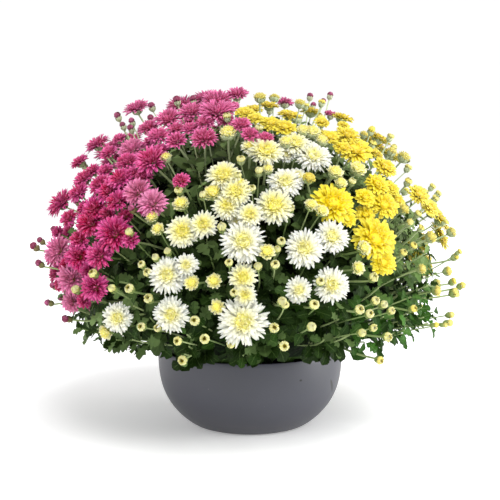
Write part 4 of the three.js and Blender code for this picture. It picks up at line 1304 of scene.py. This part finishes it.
# Leaves along stalks: at shares of each path, turning round it, leaning away from it
def leavesOn(paths, shares, lengths, random, pattern, young, pale):
    count, steps, each = len(paths), paths.shape[1], len(shares)
    total = count * each
    place = np.clip(np.asarray(shares) + random.uniform(*growth["place"], (count, each)), 0, 1)
    scaled = place * (steps - 1)
    low = np.minimum(scaled.astype(int), steps - 2)
    part = (scaled - low)[..., None]
    index = np.arange(count)[:, None]
    before, after = paths[index, low], paths[index, low + 1]
    roots, ahead = before * (1 - part) + after * part, unit(after - before)
    around = np.arange(each) * growth["turn"] + random.uniform(0, 6.28, (count, 1))
    around = around[..., None]
    side = unit(np.cross(ahead, up + 0.01))
    out = np.cos(around) * side + np.sin(around) * np.cross(ahead, side)
    along = unit(ahead * random.uniform(*growth["forward"], (count, each, 1)) + out)
    size = np.asarray(lengths) * random.uniform(*growth["size"], (count, each))
    # Painted shade: leaves further in along their stalk get a lower tone and age, and their depth
    # as a layer of painted shade
    outer = 0.3 + 0.7 * place.ravel() ** 2
    tint = np.stack([
        np.clip(pale + random.random(total) ** 0.8 * outer, 0, 1), 1 - outer,
        np.clip(random.normal(young, growth["young"], total), 0, 1) * outer,
    ], 1)
    arch = random.uniform(*growth["arch"], total)
    roots, along, ahead = (rows.reshape(-1, 3) for rows in (roots, along, ahead))
    return leaves(pattern, roots, along, ahead, size.ravel(), arch, tint)


twigStyle = {
    "points": 306, "top": 4, "low": 119, "leaves": 9, "deepLeaves": 5, "length": 0.026,
    "share": 0.78, "skirtShare": 0.12, "skirt": (45, 90), "thin": 0.8, "depth": 0.06,
    "lift": 0.35, "unevenTurn": (-0.1, 0.1), "unevenShare": (-0.05, 0.05),
    "plants": {  # how young the leaves are, how pale, and their size
        "magenta": (0.05, 0.24, 1), "cream": (0.1, 0.08, 1), "yellow": (0.68, 0, 0.9),
    },
}
shootStyle = {"shares": (0.38, 0.6), "lengths": (0.023, 0.015)}


# Leafy twigs from the hearts towards the crown, longest round the skirt
def makeTwigs(random):
    azimuth, fromUpright = spiral(twigStyle)
    azimuth = azimuth + random.uniform(*twigStyle["unevenTurn"], len(azimuth))
    first, last = twigStyle["skirt"]
    lowness = np.clip((fromUpright / degree - first) / (last - first), 0, 1)
    share = twigStyle["share"] + twigStyle["skirtShare"] * lowness
    share = share + random.uniform(*twigStyle["unevenShare"], len(azimuth))
    twigs = []
    for end in crownPoint(azimuth, fromUpright, share):
        root = wayOut(end)
        twigs.append({
            "root": root + (growthOrigin - root) * twigStyle["depth"], "neck": end,
            "axis": unit(unit(end - root) + twigStyle["lift"] * up),
            "thin": twigStyle["thin"], "stem": nearestStem(root),
        })
    return twigs


# Makes the pieces of every leafy stem: its stalks with calyxes, its leaves, and its petals
def dressStems():
    for number, name in enumerate(stemNames):
        random = np.random.default_rng(100 + number)
        own = [flower for flower in flowers + moreFlowers if flower["stem"] == name]
        young, pale, size = twigStyle["plants"][name.split("_")[0]]
        stalks, green = stalkBatch(own, random)
        twigs, twigGreen = stalkBatch([t for t in allTwigs if t["stem"] == name], random)
        cups = [calyx(flower, random) for flower in own]
        green = joinBatches([green, twigGreen] + cups)
        makePiece(f"{name}_stalks", green, stalkMaterial, [name])
        deep = twigStyle["deepLeaves"]
        shares = np.linspace(0.3, 1, twigStyle["leaves"])
        lengths = np.linspace(1.15, 0.7, twigStyle["leaves"]) * twigStyle["length"] * size
        foliage = [leavesOn(*row, pale) for row in (
            (twigs, shares[:deep], lengths[:deep], random, plainLeaf, young),
            (twigs, shares[deep:], lengths[deep:], random, lobedLeaf, young),
            (stalks, shootStyle["shares"], shootStyle["lengths"], random, smallLeaf, 2 * young),
        )]
        foliage.append(heartLeaves(heartSpots["points"][heartSpots["stem"] == name], random))
        makePiece(f"{name}_leaves", joinBatches(foliage), leafMaterial, [name])
        for colour in petalFinishes:
            heads = [f for f in own if f["node"] == name and f["colour"] == colour]
            if heads:
                makePetals(f"{name}_{colour}_petals", heads, colour, random, name)


def makePetals(piece, heads, colour, random, replaced):
    batch = joinBatches([flowerPetals(flower, random) for flower in heads])
    makePiece(piece, batch, petalFinishes[colour], [replaced])


heartStyle = {
    "points": 560, "top": 0, "low": 120, "length": 0.034, "size": (0.7, 1.2),
    "arch": (0.2, 0.9), "spread": 1.2, "outward": 0.55, "layer": 0.5, "inset": 0.96,
    "rimCount": 96, "rimRadius": 0.099, "rimLevel": 0.088,
}


# Leaves that cover the hearts, lying like shingles, most of them pointing out and down
def heartLeaves(points, random):
    count = len(points)
    outward = crownNormal(points)
    level = unit(np.cross(up, outward) + 1e-6)
    slope = np.cross(outward, level)
    angle = random.normal(np.pi, heartStyle["spread"], count)[:, None]
    along = heartStyle["outward"] * outward + np.cos(angle) * slope + np.sin(angle) * level
    # Painted shade: heart leaves lie deep in the plant, so their tone is low and their layer
    # darkens them
    tint = np.zeros((count, 3))
    tint[:, 0], tint[:, 1] = 0.6 * random.random(count) ** 1.5, heartStyle["layer"]
    length = heartStyle["length"] * random.uniform(*heartStyle["size"], count)
    arch = random.uniform(*heartStyle["arch"], count)
    return leaves(plainLeaf, points, along, outward + 0.4 * up, length, arch, tint)


# Where the heart leaves are rooted: all over the hearts, and in a ring inside the bowl's rim
def makeHeartSpots():
    azimuth, fromUpright = spiral(heartStyle)
    height = np.where(np.cos(fromUpright) > 0, heart["share"] * crown["above"], heart["below"])
    level = crown["centre"] + height * np.cos(fromUpright)
    ring = ringAngles(heartStyle["rimCount"])
    rim = [np.full(len(ring), heartStyle[name]) for name in ("rimRadius", "rimLevel")]
    azimuth = np.concatenate([azimuth, ring])
    radius = np.concatenate([heartStyle["inset"] * heartRadius(level), rim[0]])
    level = np.concatenate([level, rim[1]])
    points = np.stack([radius * np.cos(azimuth), radius * np.sin(azimuth), level], 1)
    return {"points": points, "stem": np.array([nearestStem(point) for point in points])}


innerStyle = {"rings": 36, "sides": 72, "size": 0.9, "inset": 2 * mm}


# The deep inner foliage: a bumpy shell, radius S heartRadius(z) (1 + bumps), closed at both ends
def innerFoliage():
    rings, sides, inset = (innerStyle[name] for name in ("rings", "sides", "inset"))
    level = np.linspace(heart["low"] + inset, heart["high"] - inset, rings)[:, None]
    angle = ringAngles(sides)
    bumps = 0.03 * np.sin(9 * angle + 60 * level) + 0.02 * np.sin(23 * angle - 190 * level)
    shell = turned(innerStyle["size"] * heartRadius(level) * (1 + bumps), level, sides)
    makePiece("inner_foliage", shell, innerFinish(), stemNames)


def dressBlooms():
    for number, name in enumerate(bloomNames):
        heads = [flower for flower in flowers if flower["node"] == name]
        random = np.random.default_rng(500 + number)
        makePetals(f"{name}_petals", heads, name.split("_")[0], random, name)


allTwigs = makeTwigs(np.random.default_rng(7))
heartSpots = makeHeartSpots()
innerFoliage()
dressStems()
print("leafy stems dressed")
dressBlooms()
print("blooms dressed")

# ---- bowl and soil ----

bowlStyle = {
    "rim": 0.115, "base": 0.069, "height": 0.096, "wall": 0.0025, "floor": 0.003,
    "heel": 0.0012, "lip": 0.0011, "sides": 112, "levels": 26, "swell": (2.95, 0.85),
    "bunching": 1.6, "lipAngles": np.linspace(-0.2, np.pi + 0.2, 9)[1:-1],
}


# The bowl as a turned profile: flat base, outer wall, rounded rim, inner wall and floor. Its outer
# radius at a height is base + (rim - base) (1 - (1 - h / H)^2.95)^0.85
def makeBowl():
    style = bowlStyle
    base, height, wall, heel = (style[name] for name in ("base", "height", "wall", "heel"))
    levels = height * np.linspace(0, 1, style["levels"]) ** style["bunching"]
    rise = 1 - (1 - levels / height) ** style["swell"][0]
    radii = base + (style["rim"] - base) * rise ** style["swell"][1]
    outer = np.stack([radii, levels], 1)
    outer = outer[(levels > heel) & (levels < height - style["lip"])]
    inner = np.stack([radii - wall, levels], 1)
    inner = inner[(levels > style["floor"]) & (levels < height - 2 * style["lip"])][::-1]
    angle, half = style["lipAngles"], wall / 2
    lip = np.stack([style["rim"] - half + half * np.cos(angle),
                    height - half + half * np.sin(angle)], 1)
    start = [[base - heel, 0], [base + 0.4 * heel, heel * 0.5]]
    floor = [[inner[-1, 0] - 1 * mm, style["floor"]]]
    profile = np.concatenate([start, outer, lip, inner, floor])
    shell = turned(profile[:, :1], profile[:, 1:], style["sides"])
    makePiece("planting_bowl", shell, bowlFinish(), ["bowl"])


makeBowl()
nodes["soil"].data.materials[0] = soilFinish()
print("bowl and soil done")

# ---- studio ----

studio = {
    "paper": {"paper": (254, 254, 254), "fibre": (235, 235, 235)}, "white": (1.0, 1.0, 1.0, 1.0),
    "black": (0.0, 0.0, 0.0, 1.0), "skyStrength": 0.5, "floorGlow": 0.24,
    "side": 5, "front": -4, "back": 3.2, "top": 5,
}
lamps = {
    "key": {"place": (0.8, -1.4, 2.2), "kind": "SUN", "angle": 40 * degree, "energy": 2.7},
    "fill": {"place": (-1.6, -1.6, 1.0), "kind": "AREA", "size": 1.6, "energy": 9},
    "side": {"place": (1.6, -0.1, 0.12), "kind": "AREA", "size": 0.7, "energy": 22},
}


# A sheet of studio paper across the stage, from a near or low edge to a far or high one
def stageSheet(name, first, last, finish):
    mesh = bpy.data.meshes.new(name)
    side = studio["side"]
    corners = [(-side, *first), (side, *first), (side, *last), (-side, *last)]
    mesh.from_pydata(corners, [], [(0, 1, 2, 3)])
    mesh.materials.append(finish.material)
    addObject(name, mesh)


def makeStudio():
    paper = Finish("floor_paper", studio["paper"], Roughness=0.95, Specular_IOR_Level=0.0,
                   Emission_Color=studio["white"], Emission_Strength=studio["floorGlow"])
    paper.put("Base Color", paper.coats("paper", (0.02 * paper.noise(30, 2), "fibre")))
    wall = Finish("wall_paper", {}, Roughness=1.0, Base_Color=studio["black"],
                  Emission_Color=studio["white"], Emission_Strength=1.0)
    back = studio["back"]
    stageSheet("floor", (studio["front"], 0), (back, 0), paper)
    stageSheet("wall", (back, 0), (back, studio["top"]), wall)
    world = bpy.data.worlds.new("studio")
    world.use_nodes = True
    sky = world.node_tree.nodes["Background"].inputs
    sky["Color"].default_value = studio["white"]
    sky["Strength"].default_value = studio["skyStrength"]
    bpy.context.scene.world = world
    for name, settings in lamps.items():
        lamp = bpy.data.lights.new(name, settings["kind"])
        for key in settings.keys() - {"place", "kind"}:
            setattr(lamp, key, settings[key])
        addObject(name, lamp, settings["place"])
    bpy.context.scene.view_settings.view_transform = "Standard"
    bpy.context.scene.view_settings.look = "None"


makeStudio()
print("studio made")
